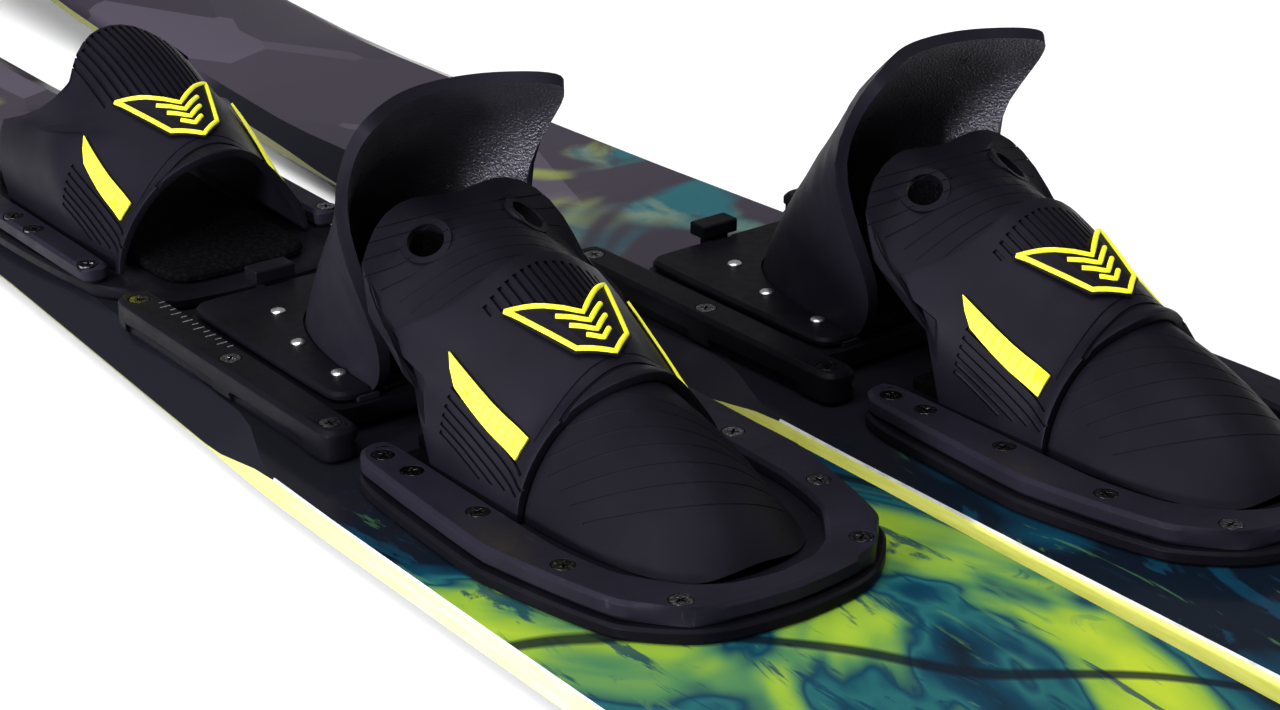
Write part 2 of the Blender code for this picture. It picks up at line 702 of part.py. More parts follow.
def open_front(half, far_x):
    """The whole outline from its near half, run out straight to far_x at the front."""
    mirrored = [(x, -y) for x, y in reversed(half[:-1])]
    return [(far_x, half[0][1])] + half + mirrored + [(far_x, -half[0][1])]


def make_slider_plate(name, parent):
    body = plate_mesh(name, slider_outline(PLATE_HALF, PLATE_FRONT_X), SLIDER_TOP + GAP, PLATE_TOP)
    plate = place(name, body, BLACK_PLASTIC, parent)
    bevel(plate, PLATE_EDGE_ROUND)
    room = open_front(heel_outline(FLANGE_REACH + 0.5), PLATE_FRONT_X + 12)
    cutter(plate, plate_mesh(name + "_room", room, SLIDER_TOP - 2, PLATE_BOTTOM))
    wall = open_front(heel_outline(0.8), PLATE_FRONT_X + 12)
    cutter(plate, plate_mesh(name + "_opening", wall, SLIDER_TOP - 3, PLATE_TOP + 3))
    cutter(plate, lock_slot(name + "_arm_room", LOCK_TOOTH_X, SLIDER_TOP - 3, PLATE_BOTTOM))
    cutter(plate, lock_slot(name + "_notch", LOCK_NOTCH_X, SLIDER_TOP - 4, PLATE_TOP + 4))
    return plate


def pin_mesh(name, radius, reach):
    sides = 16
    rings = []
    for y in (LOCK_Y - reach, LOCK_Y + reach):
        angles = [2 * math.pi * i / sides for i in range(sides)]
        ring = [(radius * math.cos(a), radius * math.sin(a)) for a in angles]
        rings.append([(LOCK_PIVOT_X + x, y, LOCK_PIVOT_Z + z) for x, z in ring])
    return loft(name, rings)


def side_profile(name, outline, low_y, high_y):
    """A solid from an outline in x and z, extruded along y."""
    return loft(name, [[(x, y, z) for x, z in outline] for y in (low_y, high_y)])


def make_lock_tab(name, parent):
    """A lever on a cross pin: an arm under the plate, a tooth over the rack and a thumb head behind."""
    px, pz = LOCK_PIVOT_X, LOCK_PIVOT_Z
    low, high = pz - LOCK_ARM_HALF, pz + LOCK_ARM_HALF
    tooth_low = RACK_TOP + LOCK_TOOTH_LIFT
    neck_top = (LOCK_HEAD_BOTTOM + LOCK_HEAD_TOP) / 2
    profile = [
        (px + 2.4, low), (px + 2.4, high), (LOCK_NECK_FRONT_X, high), (LOCK_NECK_FRONT_X, neck_top),
        (LOCK_NECK_REAR_X, neck_top), (LOCK_NECK_REAR_X, LOCK_NECK_BOTTOM),
        (LOCK_NECK_FRONT_X + 4.0, LOCK_NECK_BOTTOM), (LOCK_NECK_FRONT_X + 6.0, low),
        (LOCK_TOOTH_X, low), (LOCK_TOOTH_X, tooth_low),
        (LOCK_TOOTH_X + TOOTH_WIDTH - 1.0, tooth_low), (LOCK_TOOTH_X + TOOTH_WIDTH, low),
    ]
    moved = [(x - px, z - pz) for x, z in profile]
    hinge = empty(name + "_pivot", parent, (px, LOCK_Y, pz))
    tab = place(name, side_profile(name, moved, -LOCK_HALF, LOCK_HALF), BLACK_PLASTIC, hinge)
    head = box_mesh(
        name + "_head", (LOCK_NECK_REAR_X - 1.8 - px, -LOCK_HEAD_HALF, LOCK_HEAD_BOTTOM - pz),
        (LOCK_NECK_FRONT_X + 1.2 - px, LOCK_HEAD_HALF, LOCK_HEAD_TOP - pz),
    )
    cutter(tab, head, "UNION")
    bevel(tab, 0.7, angle=60)
    pin = pin_mesh(name + "_pin", LOCK_PIN_RADIUS, LOCK_PIN_REACH)
    cutter(tab, pin, "UNION", location=(-px, -LOCK_Y, -pz))
    return tab


def make_rack(name, parent):
    """A notched strip on the deck under the lock tab's tooth, one notch for each size."""
    first = LOCK_TOOTH_X - 0.8 - RACK_NOTCHES_BEHIND * RACK_PITCH
    count = RACK_NOTCHES_BEHIND + RACK_NOTCHES_AHEAD + 1
    rear_x = first - 2.4
    front_x = first + (count - 1) * RACK_PITCH + TOOTH_WIDTH + 4.0
    outline = [(rear_x, DECK_Z + GAP), (rear_x, RACK_TOP)]
    for i in range(count):
        x = first + i * RACK_PITCH
        end = x + TOOTH_WIDTH + 1.6
        outline += [(x, RACK_TOP), (x + 0.4, RACK_ROOT), (end - 0.4, RACK_ROOT), (end, RACK_TOP)]
    outline += [(front_x, RACK_TOP), (front_x, DECK_Z + GAP)]
    strip = side_profile(name, outline, LOCK_Y - RACK_HALF, LOCK_Y + RACK_HALF)
    return place(name, strip, BLACK_PLASTIC, parent)


def make_heel_pad(name, parent):
    edge = [(x - 2.0 if i == 0 else x, y) for i, (x, y) in enumerate(heel_outline(-HEEL_WALL - HEEL_PAD_GAP))]
    outline = edge + [(x, -y) for x, y in reversed(edge[:-1])]
    pad = place(name, plate_mesh(name, outline, SLIDER_TOP + GAP, HEEL_PAD_TOP), FOAM, parent)
    bevel(pad, 1.2)
    return pad


# Front base plate, trim frame, footbed

def frame_outer():
    return rounded(mirrored(FRAME_OUTER), 14.0)


def make_base_plate(name, parent):
    outline = offset_outline(list(reversed(frame_outer())), BASE_MARGIN)
    plate = place(name, plate_mesh(name, outline, DECK_Z + GAP, BASE_TOP), BLACK_PLASTIC, parent)
    bevel(plate, 1.2)
    return plate


def make_trim_frame(name, parent):
    """The horseshoe that clamps the boot's flange, open at the rear."""
    loop = rounded(mirrored(FRAME_OUTER), 14.0, square_x=FRAME_REAR_X)
    hole = rounded(mirrored(FRAME_INNER), 16.0, square_x=FRAME_REAR_X)
    frame = place(name, plate_mesh(name, loop + list(reversed(hole)), FRAME_BOTTOM, 0), BLACK_PLASTIC, parent)
    bevel(frame, FRAME_EDGE_ROUND)
    rebate = offset_outline(list(reversed(hole)), REBATE_REACH)
    rebate = [(x - 12 if x < FRAME_REAR_X + 6 else x, y) for x, y in rebate]
    cutter(frame, plate_mesh(name + "_rebate", rebate, FRAME_BOTTOM - 2, REBATE_TOP))
    for x, y in FRAME_SCREWS:
        for side in (1, -1):
            cutter(frame, counterbore_mesh(name + "_bore"), location=(x, side * y, 0))
    return frame


def frame_hole_offset(distance, rear_x):
    """The frame's opening moved outwards by a distance and cut straight at rear_x, from +y to -y."""
    hole = rounded(mirrored(FRAME_INNER), 16.0, square_x=FRAME_REAR_X)
    moved = list(reversed(offset_outline(list(reversed(hole)), distance)))
    half = FRAME_INNER[0][1] + distance
    return [(rear_x, half)] + [p for p in moved if p[0] > rear_x + 0.5] + [(rear_x, -half)]


def make_footbed(name, parent):
    outline = frame_hole_offset(-FOOTBED_INSET, FOOTBED_REAR_X)
    outline = [p for p in outline if p[0] < FOOTBED_FRONT_X]
    return place(name, plate_mesh(name, outline, BASE_TOP + GAP, FOOTBED_TOP), FOAM, parent)


# Boot: toe wrap and overlay

def boot_surface(u, v):
    """The toe wrap's outer face. u runs over the foot (-1 to 1), v from the neck rim (0) to the nose (9)."""
    row = along([along_half(section, abs(u) * 8) for section in BOOT_SECTIONS], v)
    return np.array((row[0], math.copysign(row[1], u) if u else 0.0, row[2]))


def make_toe_wrap(name, parent):
    us = list(np.linspace(-1, 1, BOOT_COLUMNS))
    vs = [0, 0.3, 0.7, 1.2, 1.8, 2.4, 3.0, 3.6, 4.2, 4.8, 5.4, 6.0, 6.6, 7.2, 7.8, 8.35, 8.8]
    outer = surface_grid(boot_surface, us, vs)
    inner = surface_grid(boot_surface, us, vs, -WRAP_WALL)
    low = BASE_TOP + GAP
    for row in inner:
        row[0] = (row[0][0], row[0][1], low)
        row[-1] = (row[-1][0], row[-1][1], low)
        row[:] = [(x, y, max(z, low)) for x, y, z in row]
    wrap = place(name, thick_sheet(name, inner, outer), BLACK_RUBBER, parent)
    ring = frame_hole_offset(WRAP_FLANGE_REACH, WRAP_FLANGE_REAR_X)
    ring += reversed(frame_hole_offset(-WRAP_FLANGE_INSET, WRAP_FLANGE_REAR_X))
    cutter(wrap, plate_mesh(name + "_flange", ring, BASE_TOP + GAP, WRAP_FLANGE_TOP), "UNION")
    for side in (1, -1):
        spot = boot_surface(side * HOLE_U, HOLE_V)
        normal = surface_normal(boot_surface, side * HOLE_U, HOLE_V)
        ring = slanted_cylinder(name + "_ring", spot, normal, HOLE_RING_RADIUS, -1.0, HOLE_RING_HEIGHT)
        cutter(wrap, ring, "UNION")
    for side in (1, -1):
        spot = boot_surface(side * HOLE_U, HOLE_V)
        normal = surface_normal(boot_surface, side * HOLE_U, HOLE_V)
        cutter(wrap, slanted_cylinder(name + "_finger_hole", spot, normal, HOLE_RADIUS, -15.0, 12.0))
    return wrap


def slanted_cylinder(name, spot, normal, radius, low, high, sides=16):
    axis = Vector(normal).normalized()
    across = axis.orthogonal().normalized()
    other = axis.cross(across)
    rings = []
    for depth in (low, high):
        centre = Vector(spot) + axis * depth
        angles = [2 * math.pi * i / sides for i in range(sides)]
        spokes = [across * math.cos(a) + other * math.sin(a) for a in angles]
        rings.append([tuple(centre + radius * spoke) for spoke in spokes])
    return loft(name, rings)


def overlay_rear(u):
    """The rear edge of the overlay: straight over the instep, swept back at each foot."""
    sweep = smoothstep(*OVERLAY_SWEEP_U, abs(u))
    return OVERLAY_REAR_V + (OVERLAY_FOOT_REAR_V - OVERLAY_REAR_V) * sweep


def overlay_front(u):
    return OVERLAY_FRONT_V + (OVERLAY_FOOT_FRONT_V - OVERLAY_FRONT_V) * smoothstep(0.0, 0.45, abs(u))


def overlay_point(u, s):
    """A point on the surface under the overlay. s runs from its rear edge (0) to its front arch (1)."""
    rear = overlay_rear(u)
    return boot_surface(u, rear + (overlay_front(u) - rear) * s)


def overlay_lift(u, s):
    lip = smoothstep(0.93, 0.965, s) * (1 - smoothstep(0.8, 0.95, abs(u))) * OVERLAY_LIP
    return OVERLAY_GAP + OVERLAY_WALL + lip


def make_overlay(name, parent):
    us = list(np.linspace(-1, 1, BOOT_COLUMNS))
    ss = [0, 0.15, 0.32, 0.5, 0.68, 0.83, 0.93, 0.965, 1.0]
    inner = surface_grid(overlay_point, us, ss, OVERLAY_GAP)
    outer = surface_grid(overlay_point, us, ss, overlay_lift)
    return place(name, thick_sheet(name, inner, outer), BLACK_RUBBER, parent)


def inlay(name, surface, corners, lift, parent, steps=(3, 8), location=(0, 0, 0), point=(0, 0)):
    """A neon inlay on the overlay: a patch given by (u, s) corners, its ends pushed forward in the middle."""
    (a, b, c, d) = (np.array(corner, float) for corner in corners)
    inner, outer = [], []
    for i in np.linspace(0, 1, steps[0]):
        low, high = [], []
        for j in np.linspace(0, 1, steps[1]):
            u, s = (a * (1 - j) + b * j) * (1 - i) + (d * (1 - j) + c * j) * i
            s += (1 - abs(2 * j - 1)) * (point[0] * (1 - i) + point[1] * i)
            base = surface(u, s)
            normal = surface_normal(surface, u, s)
            low.append(tuple(base + normal * (lift + INLAY_GAP)))
            high.append(tuple(base + normal * (lift + INLAY_GAP + INLAY_HEIGHT)))
        inner.append(low)
        outer.append(high)
    return place(name, thick_sheet(name, inner, outer), NEON_RUBBER, parent, location)


STRIPE_CORNERS = ((0.475, 0.32), (0.55, 0.925), (0.68, 0.925), (0.575, 0.51))
RTP_STRIPE_CORNERS = ((0.43, 0.37), (0.538, 0.925), (0.66, 0.925), (0.53, 0.54))
BADGE_CORNERS = ((-0.25, 0.265), (0.25, 0.265), (0.15, 0.735), (-0.15, 0.735))
BADGE_POINT = (0.245, 0.11)


def make_inlays(prefix, parent, location=(0, 0, 0), stripe=STRIPE_CORNERS):
    lift = OVERLAY_GAP + OVERLAY_WALL
    inlay(prefix + "_badge", overlay_point, BADGE_CORNERS, lift, parent, (6, 9), location, BADGE_POINT)
    inlay(prefix + "_stripe_left", overlay_point, stripe, lift, parent, location=location)
    right = [(-u, s) for u, s in stripe]
    inlay(prefix + "_stripe_right", overlay_point, right, lift, parent, location=location)


# Assemblies

def front_binding(prefix, parent):
    make_base_plate(prefix + "_base_plate", parent)
    make_trim_frame(prefix + "_trim_frame", parent)
    make_footbed(prefix + "_front_footbed", parent)
    make_toe_wrap(prefix + "_toe_wrap", parent)
    make_overlay(prefix + "_overlay", parent)
    make_inlays(prefix, parent)
    make_rail(prefix + "_rail_left", 1, parent)
    make_rail(prefix + "_rail_right", -1, parent)
    make_rack(prefix + "_lock_rack", parent)
    slider = empty(prefix + "_heel_slide", parent)
    make_slider_base(prefix + "_slider_base", slider)
    make_slider_plate(prefix + "_slider_plate", slider)
    make_heel_cup(prefix + "_heel_cup", slider)
    make_heel_pad(prefix + "_heel_pad", slider)
    make_lock_tab(prefix + "_lock_tab", slider)


def rear_point(u, s):
    """The rear toe piece's surface. s runs from its rear edge (-1) to its front arch (1). The middle
    reaches back over the instep as a tongue, and the sides reach back along the foot as low wings."""
    front = overlay_front(u)
    back = RTP_CREST_V + (RTP_SADDLE_V - RTP_CREST_V) * smoothstep(0.05, 0.5, abs(u))
    tongue = boot_surface(u, back + (front - back) * (s + 1) / 2)
    wing = boot_surface(u, RTP_SADDLE_V + (front - RTP_SADDLE_V) * max(s, 0.0))
    if s < 0:
        wing[0] += RTP_WING_REACH * s
        wing[2] = BOOT_FOOT_Z + (wing[2] - BOOT_FOOT_Z) * (1 + RTP_WING_FALL * s)
    share = smoothstep(0.34, 0.48, abs(u))
    return tongue * (1 - share) + wing * share


def rear_lift(u, s):
    return overlay_lift(u, max(s, 0.0))


def make_rear_binding(prefix, parent):
    outline = [
        (RTP_REAR_X, RTP_HALF), (RTP_REAR_X, -RTP_HALF),
        (RTP_FRONT_X, -RTP_HALF), (RTP_FRONT_X, -RTP_NOSE_HALF),
        (RTP_NOSE_X, -RTP_NOSE_HALF), (RTP_NOSE_X, RTP_NOSE_HALF),
        (RTP_FRONT_X, RTP_NOSE_HALF), (RTP_FRONT_X, RTP_HALF),
    ]
    base_body = plate_mesh(prefix + "_base_plate", rounded(outline, 12.0), DECK_Z + GAP, RTP_Z)
    base = place(prefix + "_base_plate", base_body, BLACK_PLASTIC, parent)
    bevel(base, 1.2)
    for side, word in ((1, "left"), (-1, "right")):
        low, high = sorted((side * RTP_BAR_INNER, side * RTP_BAR_OUTER))
        bar_outline = [
            (RTP_BAR_REAR_X, low), (RTP_BAR_FRONT_X, low), (RTP_BAR_FRONT_X, high), (RTP_BAR_REAR_X, high),
        ]
        bar_name = f"{prefix}_frame_{word}"
        bar_body = plate_mesh(bar_name, rounded(bar_outline, 5.0), RTP_Z + GAP, 0)
        bar = place(bar_name, bar_body, BLACK_PLASTIC, parent)
        bevel(bar, FRAME_EDGE_ROUND)
        for x, y in RTP_SCREWS:
            cutter(bar, counterbore_mesh(bar_name + "_bore"), location=(x, side * y, 0))
    pad_rear, pad_front = RTP_REAR_X + 14, RAIL_REAR_X - 8
    pad_outline = [(pad_rear, -38), (pad_front, -34), (pad_front, 34), (pad_rear, 38)]
    pad_body = plate_mesh(prefix + "_footpad", rounded(pad_outline, 14.0), RTP_Z + GAP, RTP_Z + 4.5)
    pad = place(prefix + "_footpad", pad_body, FOAM, parent)
    bevel(pad, 1.2)
    us = list(np.linspace(-1, 1, 21))
    ss = [-1.0, -0.75, -0.5, -0.25, 0.0, 0.2, 0.4, 0.6, 0.8, 0.93, 0.965, 1.0]
    inner = surface_grid(rear_point, us, ss, OVERLAY_GAP)
    outer = surface_grid(rear_point, us, ss, rear_lift)
    inner, outer = (
        [[(x, y, max(z, BOOT_FOOT_Z - GAP)) for x, y, z in row] for row in grid] for grid in (inner, outer)
    )
    name = prefix + "_overlay"
    shift = (RTP_X, 0, RTP_Z - BOOT_FOOT_Z + 2 * GAP)
    place(name, thick_sheet(name, inner, outer), BLACK_RUBBER, parent, shift)
    make_inlays(prefix, parent, shift, RTP_STRIPE_CORNERS)


def pair_centre():
    """The middle of the pair's outline and its lowest point, in ski A's frame."""
    xs, ys = [], []
    for x in board_stations():
        for side in (-1, 1):
            y = side * rounded_width(x)
            xs += [x, SKI_B_X + x * math.cos(SKI_B_YAW) - y * math.sin(SKI_B_YAW)]
            ys += [y, SKI_B_Y + x * math.sin(SKI_B_YAW) + y * math.cos(SKI_B_YAW)]
    return (min(xs) + max(xs)) / 2, (min(ys) + max(ys)) / 2, DECK_Z - BOARD_THICKNESS


def build():
    centre = pair_centre()
    pair = empty("pair", None, [-value for value in centre])
    ski_a = empty("ski_a", pair)
    ski_b = empty("ski_b", pair, (SKI_B_X, SKI_B_Y, 0), SKI_B_YAW)
    for prefix, ski in (("a", ski_a), ("b", ski_b)):
        make_board(f"{prefix}_board", ski)
        make_fin(f"{prefix}_fin", ski)
        front_binding(prefix, ski)
    make_rear_binding("rear", ski_a)


clear_scene()
PARTS = new_collection("combo_water_skis")
CUTTERS = new_collection("cutters", hidden=True)
build()
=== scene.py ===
# %% [markdown]
# A pair of combo water skis
#
# Two long lacquered boards carry rubber foot bindings. Both skis have an adjustable front binding:
# moulded rails, a heel slider with its lock, a heel cup, a toe wrap and a thicker overlay band.
# The near ski has a second toe piece behind, for skiing on one board.
# The CAD frame already holds every solid piece at its size. This lesson gives each one its finish,
# replaces the rubber, lacquered and moulded pieces with smoother copies, and adds screws, rivets
# and grooves.

# %% Load the frame
import json
import math

import bmesh
import bpy
from mathutils import Matrix, Vector

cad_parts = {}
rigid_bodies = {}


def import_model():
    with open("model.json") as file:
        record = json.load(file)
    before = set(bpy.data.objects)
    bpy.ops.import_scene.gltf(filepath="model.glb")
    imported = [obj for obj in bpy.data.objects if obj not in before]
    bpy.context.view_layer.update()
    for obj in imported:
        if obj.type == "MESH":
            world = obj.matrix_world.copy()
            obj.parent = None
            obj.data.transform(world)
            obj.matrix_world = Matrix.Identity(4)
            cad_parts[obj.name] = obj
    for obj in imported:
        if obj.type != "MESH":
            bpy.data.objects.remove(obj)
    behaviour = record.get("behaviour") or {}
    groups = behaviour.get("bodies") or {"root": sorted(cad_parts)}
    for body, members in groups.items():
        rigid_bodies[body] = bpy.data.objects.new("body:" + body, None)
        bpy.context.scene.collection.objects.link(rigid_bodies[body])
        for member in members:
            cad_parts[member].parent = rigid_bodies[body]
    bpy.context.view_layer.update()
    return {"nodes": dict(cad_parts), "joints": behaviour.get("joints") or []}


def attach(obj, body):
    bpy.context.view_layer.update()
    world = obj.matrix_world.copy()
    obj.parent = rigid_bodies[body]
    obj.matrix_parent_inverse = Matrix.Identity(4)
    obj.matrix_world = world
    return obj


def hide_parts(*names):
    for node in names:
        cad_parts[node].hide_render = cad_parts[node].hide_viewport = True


for leftover in list(bpy.data.objects):
    bpy.data.objects.remove(leftover, do_unlink=True)
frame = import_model()
nodes = frame["nodes"]
scene = bpy.context.scene

# %% [markdown]
# Places on a binding
#
# Everything on a binding is measured in millimetres from a zero point of its own: x runs to the
# ski's tip from the rearmost rail screws, y across it from the middle line, and z up from the top of
# the rails. The two skis aren't quite parallel, so each binding has its own frame. The lock's hinge
# is a known point on each ski, and its axis runs across the ski, so the hinge alone is enough to
# find it.

# %% Binding frames
HINGE_ON_BINDING = Vector((62.0, -7.0, -7.2))
REAR_TOE_SHIFT = (-302.0, 0.0, -2.5)


def binding_frame(joint_name):
    """The matrix from a binding's millimetres to world metres, found from its lock's hinge."""
    joint = next(j for j in frame["joints"] if j["name"] == joint_name)
    yaw = math.atan2(-joint["axis"][0], joint["axis"][1])
    place = Matrix.Translation(Vector(joint["pos_m"])) @ Matrix.Rotation(yaw, 4, "Z")
    return place @ Matrix.Scale(0.001, 4) @ Matrix.Translation(-HINGE_ON_BINDING)


FRAME_A = binding_frame("lock_lift_a")
FRAME_B = binding_frame("lock_lift_b")
FRAME_REAR = FRAME_A @ Matrix.Translation(REAR_TOE_SHIFT)
BINDINGS = (("a", FRAME_A, "ski_a"), ("b", FRAME_B, "ski_b"), ("rear", FRAME_REAR, "ski_a"))
FRONT_BINDINGS = BINDINGS[:2]
print("binding zero points", FRAME_A.translation[:], FRAME_B.translation[:])

# %% [markdown]
# The camera
#
# The picture is taken from the front, above the near ski's side, with a long lens. A long lens
# keeps the two bindings nearly the same size, so the distance matters more than the angle.

# %% Camera
CAMERA_PLACE = (1077.9, -597.2, 487.5)
CAMERA_LOOK = (-0.739, 0.545, -0.397)
camera_data = bpy.data.cameras.new("camera")
camera_data.lens = 86.93
camera_data.sensor_width = 36.0
camera = bpy.data.objects.new("camera", camera_data)
scene.collection.objects.link(camera)
camera.location = FRAME_A @ Vector(CAMERA_PLACE)
camera.rotation_euler = Vector(CAMERA_LOOK).to_track_quat("-Z", "Y").to_euler()
scene.camera = camera
scene.view_settings.view_transform = "Standard"
print("camera at", [round(v, 4) for v in camera.location])

# %% [markdown]
# Floor and light
#
# A large pale floor fills the view and keeps the skis' soft shadow. A wide, soft sun from above
# lights the floor evenly. A softbox on each side draws the highlights along the rubber edges, and a
# small low lamp on the near side reaches into the heel cups. The world stays dim, so black pieces
# stay black.

# %% Stage
FLOOR_SIZE = 40.0
FLOOR_Z = -0.0005
bpy.ops.mesh.primitive_plane_add(size=FLOOR_SIZE, location=(0, 0, FLOOR_Z))
floor = bpy.context.object
floor.name = "floor"

paper = bpy.data.materials.new("floor_paper")
paper.use_nodes = True
paper_shader = paper.node_tree.nodes["Principled BSDF"]
paper_shader.inputs["Base Color"].default_value = (0.95, 0.95, 0.95, 1)
paper_shader.inputs["Roughness"].default_value = 0.9
paper_shader.inputs["Specular IOR Level"].default_value = 0.1
floor.data.materials.append(paper)


def lamp(name, kind, strength, place, target, size):
    """A sun of size degrees, or a square area lamp of size metres, that looks from place to target."""
    data = bpy.data.lights.new(name, kind)
    data.energy = strength
    if kind == "SUN":
        data.angle = math.radians(size)
    else:
        data.shape = "SQUARE"
        data.size = size
    made = bpy.data.objects.new(name, data)
    scene.collection.objects.link(made)
    made.location = place
    made.rotation_euler = (Vector(target) - Vector(place)).to_track_quat("-Z", "Y").to_euler()


lamp("overhead", "SUN", 2.6, (0.3, -0.6, 2.0), (0, 0, 0), 50)
lamp("near_softbox", "AREA", 16, (-0.35, -1.5, 0.95), (-0.1, 0, 0.1), 0.9)
lamp("far_softbox", "AREA", 7, (0.6, 1.7, 1.1), (-0.1, 0, 0.1), 0.8)
lamp("low_strip", "AREA", 44, (0.42, -1.7, 0.40), (-0.05, 0, 0.14), 0.26)
world = bpy.data.worlds.new("studio")
scene.world = world
world.use_nodes = True
sky = world.node_tree.nodes["Background"]
sky.inputs["Color"].default_value = (1, 1, 1, 1)
sky.inputs["Strength"].default_value = 0.28
print("stage ready")

# %% [markdown]
# How a finish is built
#
# Every finish starts from the same few parts: a pattern in the piece's own coordinates, a ramp that
# turns it into colour, and a bump for the grain. These small helpers keep each recipe short.

# %% Node helpers


def new_finish(name, roughness, specular=0.5, metallic=0.0):
    made = bpy.data.materials.new(name)
    made.use_nodes = True
    shader = made.node_tree.nodes["Principled BSDF"]
    shader.inputs["Roughness"].default_value = roughness
    shader.inputs["Specular IOR Level"].default_value = specular
    shader.inputs["Metallic"].default_value = metallic
    return made, made.node_tree, shader


def add(tree, kind, values=None, **settings):
    made = tree.nodes.new(kind)
    for key, value in settings.items():
        setattr(made, key, value)
    for key, value in (values or {}).items():
        made.inputs[key].default_value = value
    return made


def place_of(tree, turn=0.0, stretch=(1, 1, 1), shift=(0, 0, 0)):
    """The piece's own coordinates, moved, turned about z and stretched."""
    coordinate = add(tree, "ShaderNodeTexCoord")
    values = {"Location": shift, "Rotation": (0, 0, turn), "Scale": stretch}
    mapping = add(tree, "ShaderNodeMapping", values)
    tree.links.new(coordinate.outputs["Object"], mapping.inputs["Vector"])
    return mapping.outputs["Vector"]


def noise(tree, place, scale, detail=2.0, distortion=0.0, roughness=0.5):
    values = {"Scale": scale, "Detail": detail, "Distortion": distortion, "Roughness": roughness}
    made = add(tree, "ShaderNodeTexNoise", values)
    tree.links.new(place, made.inputs["Vector"])
    return made.outputs["Fac"]


def ramp(tree, source, stops):
    """A colour for each share of the source. stops is a list of (share, colour)."""
    made = add(tree, "ShaderNodeValToRGB")
    elements = made.color_ramp.elements
    while len(elements) < len(stops):
        elements.new(0.5)
    for element, (share, colour) in zip(elements, stops):
        element.position = share
        element.color = (*colour, 1)
    tree.links.new(source, made.inputs["Fac"])
    return made.outputs["Color"]


def spread(tree, source, low, high, to_low=0.0, to_high=1.0, smooth=False):
    """The source's span from low to high, turned into a span from to_low to to_high."""
    values = {"From Min": low, "From Max": high, "To Min": to_low, "To Max": to_high}
    made = add(tree, "ShaderNodeMapRange", values)
    made.interpolation_type = "SMOOTHSTEP" if smooth else "LINEAR"
    tree.links.new(source, made.inputs["Value"])
    return made.outputs["Result"]


def mix(tree, share, first, second):
    """The first colour at share 0 and the second at share 1. Each may be a value or a socket."""
    made = add(tree, "ShaderNodeMix", data_type="RGBA")
    for socket, value in ((made.inputs[0], share), (made.inputs[6], first), (made.inputs[7], second)):
        if isinstance(value, (tuple, float, int)):
            socket.default_value = (*value, 1) if isinstance(value, tuple) else value
        else:
            tree.links.new(value, socket)
    return made.outputs[2]


def math_node(tree, operation, first, second=0.0):
    made = add(tree, "ShaderNodeMath", operation=operation)
    for socket, value in zip(made.inputs, (first, second)):
        if isinstance(value, (float, int)):
            socket.default_value = value
        else:
            tree.links.new(value, socket)
    return made.outputs[0]


def bump(tree, shader, height, strength, distance, soft_edge=0.0):
    """Grain on the surface, and, where soft_edge is given, a small rounding along hard edges."""
    made = add(tree, "ShaderNodeBump", {"Strength": strength, "Distance": distance})
    tree.links.new(height, made.inputs["Height"])
    if soft_edge:
        rounding = add(tree, "ShaderNodeBevel", {"Radius": soft_edge}, samples=4)
        tree.links.new(rounding.outputs["Normal"], made.inputs["Normal"])
    tree.links.new(made.outputs["Normal"], shader.inputs["Normal"])


print("node helpers ready")

# %% [markdown]
# Moulded rubber
#
# The bindings are compression-moulded rubber. It is a black with a slight violet cast, dull but not
# chalky: a fine even grain from the mould, a faint cloudiness where release agent has dried, and
# a little more shine where feet and hands rub it. The heel cup's outside is a shade paler, which is
# painted light. Its inner skin shows a leathery grain, so it gets its own shinier recipe, with a
# still paler base colour that is painted light inside the cup.

# %% Rubber finishes
VIOLET_TINT = (0.86, 0.82, 1.0, 1)


def rubber(name, dark, light, rough, grain_scale, grain, specular, grain_depth=0.0003):
    """Clouds from dark to light, with roughness between the two values of rough."""
    made, tree, shader = new_finish(name, rough[1], specular)
    shader.inputs["Specular Tint"].default_value = VIOLET_TINT
    place = place_of(tree)
    cloudy = noise(tree, place, 22, 4, 0.6)
    tree.links.new(ramp(tree, cloudy, [(0.3, dark), (0.7, light)]), shader.inputs["Base Color"])
    rubbed = noise(tree, place, 90, 5)
    tree.links.new(spread(tree, rubbed, 0.3, 0.7, rough[0], rough[1]), shader.inputs["Roughness"])
    bump(tree, shader, noise(tree, place, grain_scale, 3), grain, grain_depth)
    return made


RUBBER = rubber(
    "black_rubber", (0.0031, 0.0028, 0.0047), (0.0053, 0.0048, 0.0079), (0.40, 0.54), 2600, 0.35, 0.05
)
# Painted light: the heel cup's outside is the black rubber made a shade paler, as if more light fell on it.
CUP_RUBBER_PAINTED_LIGHT = rubber(
    "cup_rubber_painted_light", (0.0055, 0.005, 0.008), (0.009, 0.0082, 0.013), (0.42, 0.56), 2600, 0.35, 0.04
)
# Painted light: the inner skin's base colour is paler than the rubber's, for the light inside the cup; its
# gloss and leathery grain are its own.
CUP_SKIN_PAINTED_LIGHT = rubber(
    "cup_inside_rubber_painted_light", (0.010, 0.010, 0.0135), (0.021, 0.021, 0.027), (0.26, 0.38), 1000, 1.0, 1.0, 0.0008
)
OVERLAY_RUBBER = rubber(
    "overlay_rubber", (0.0036, 0.0032, 0.0055), (0.0058, 0.0053, 0.0090), (0.38, 0.48), 3400, 0.18, 0.06
)
print("rubber:", RUBBER.name, CUP_RUBBER_PAINTED_LIGHT.name, CUP_SKIN_PAINTED_LIGHT.name, OVERLAY_RUBBER.name)

# %% [markdown]
# Moulded plastic and foam
#
# Rails, sliders, plates and frames are injection-moulded nylon. It has a finer grain than rubber,
# a cooler black, edges that catch the light, and pale scuffs where grit has rubbed. The bevel node
# rounds hard edges in shading alone, which is enough for a half-millimetre radius.
# The footbeds are closed-cell foam with a pebbled skin.

# %% Plastic and foam finishes
SCUFF_GAIN = 4


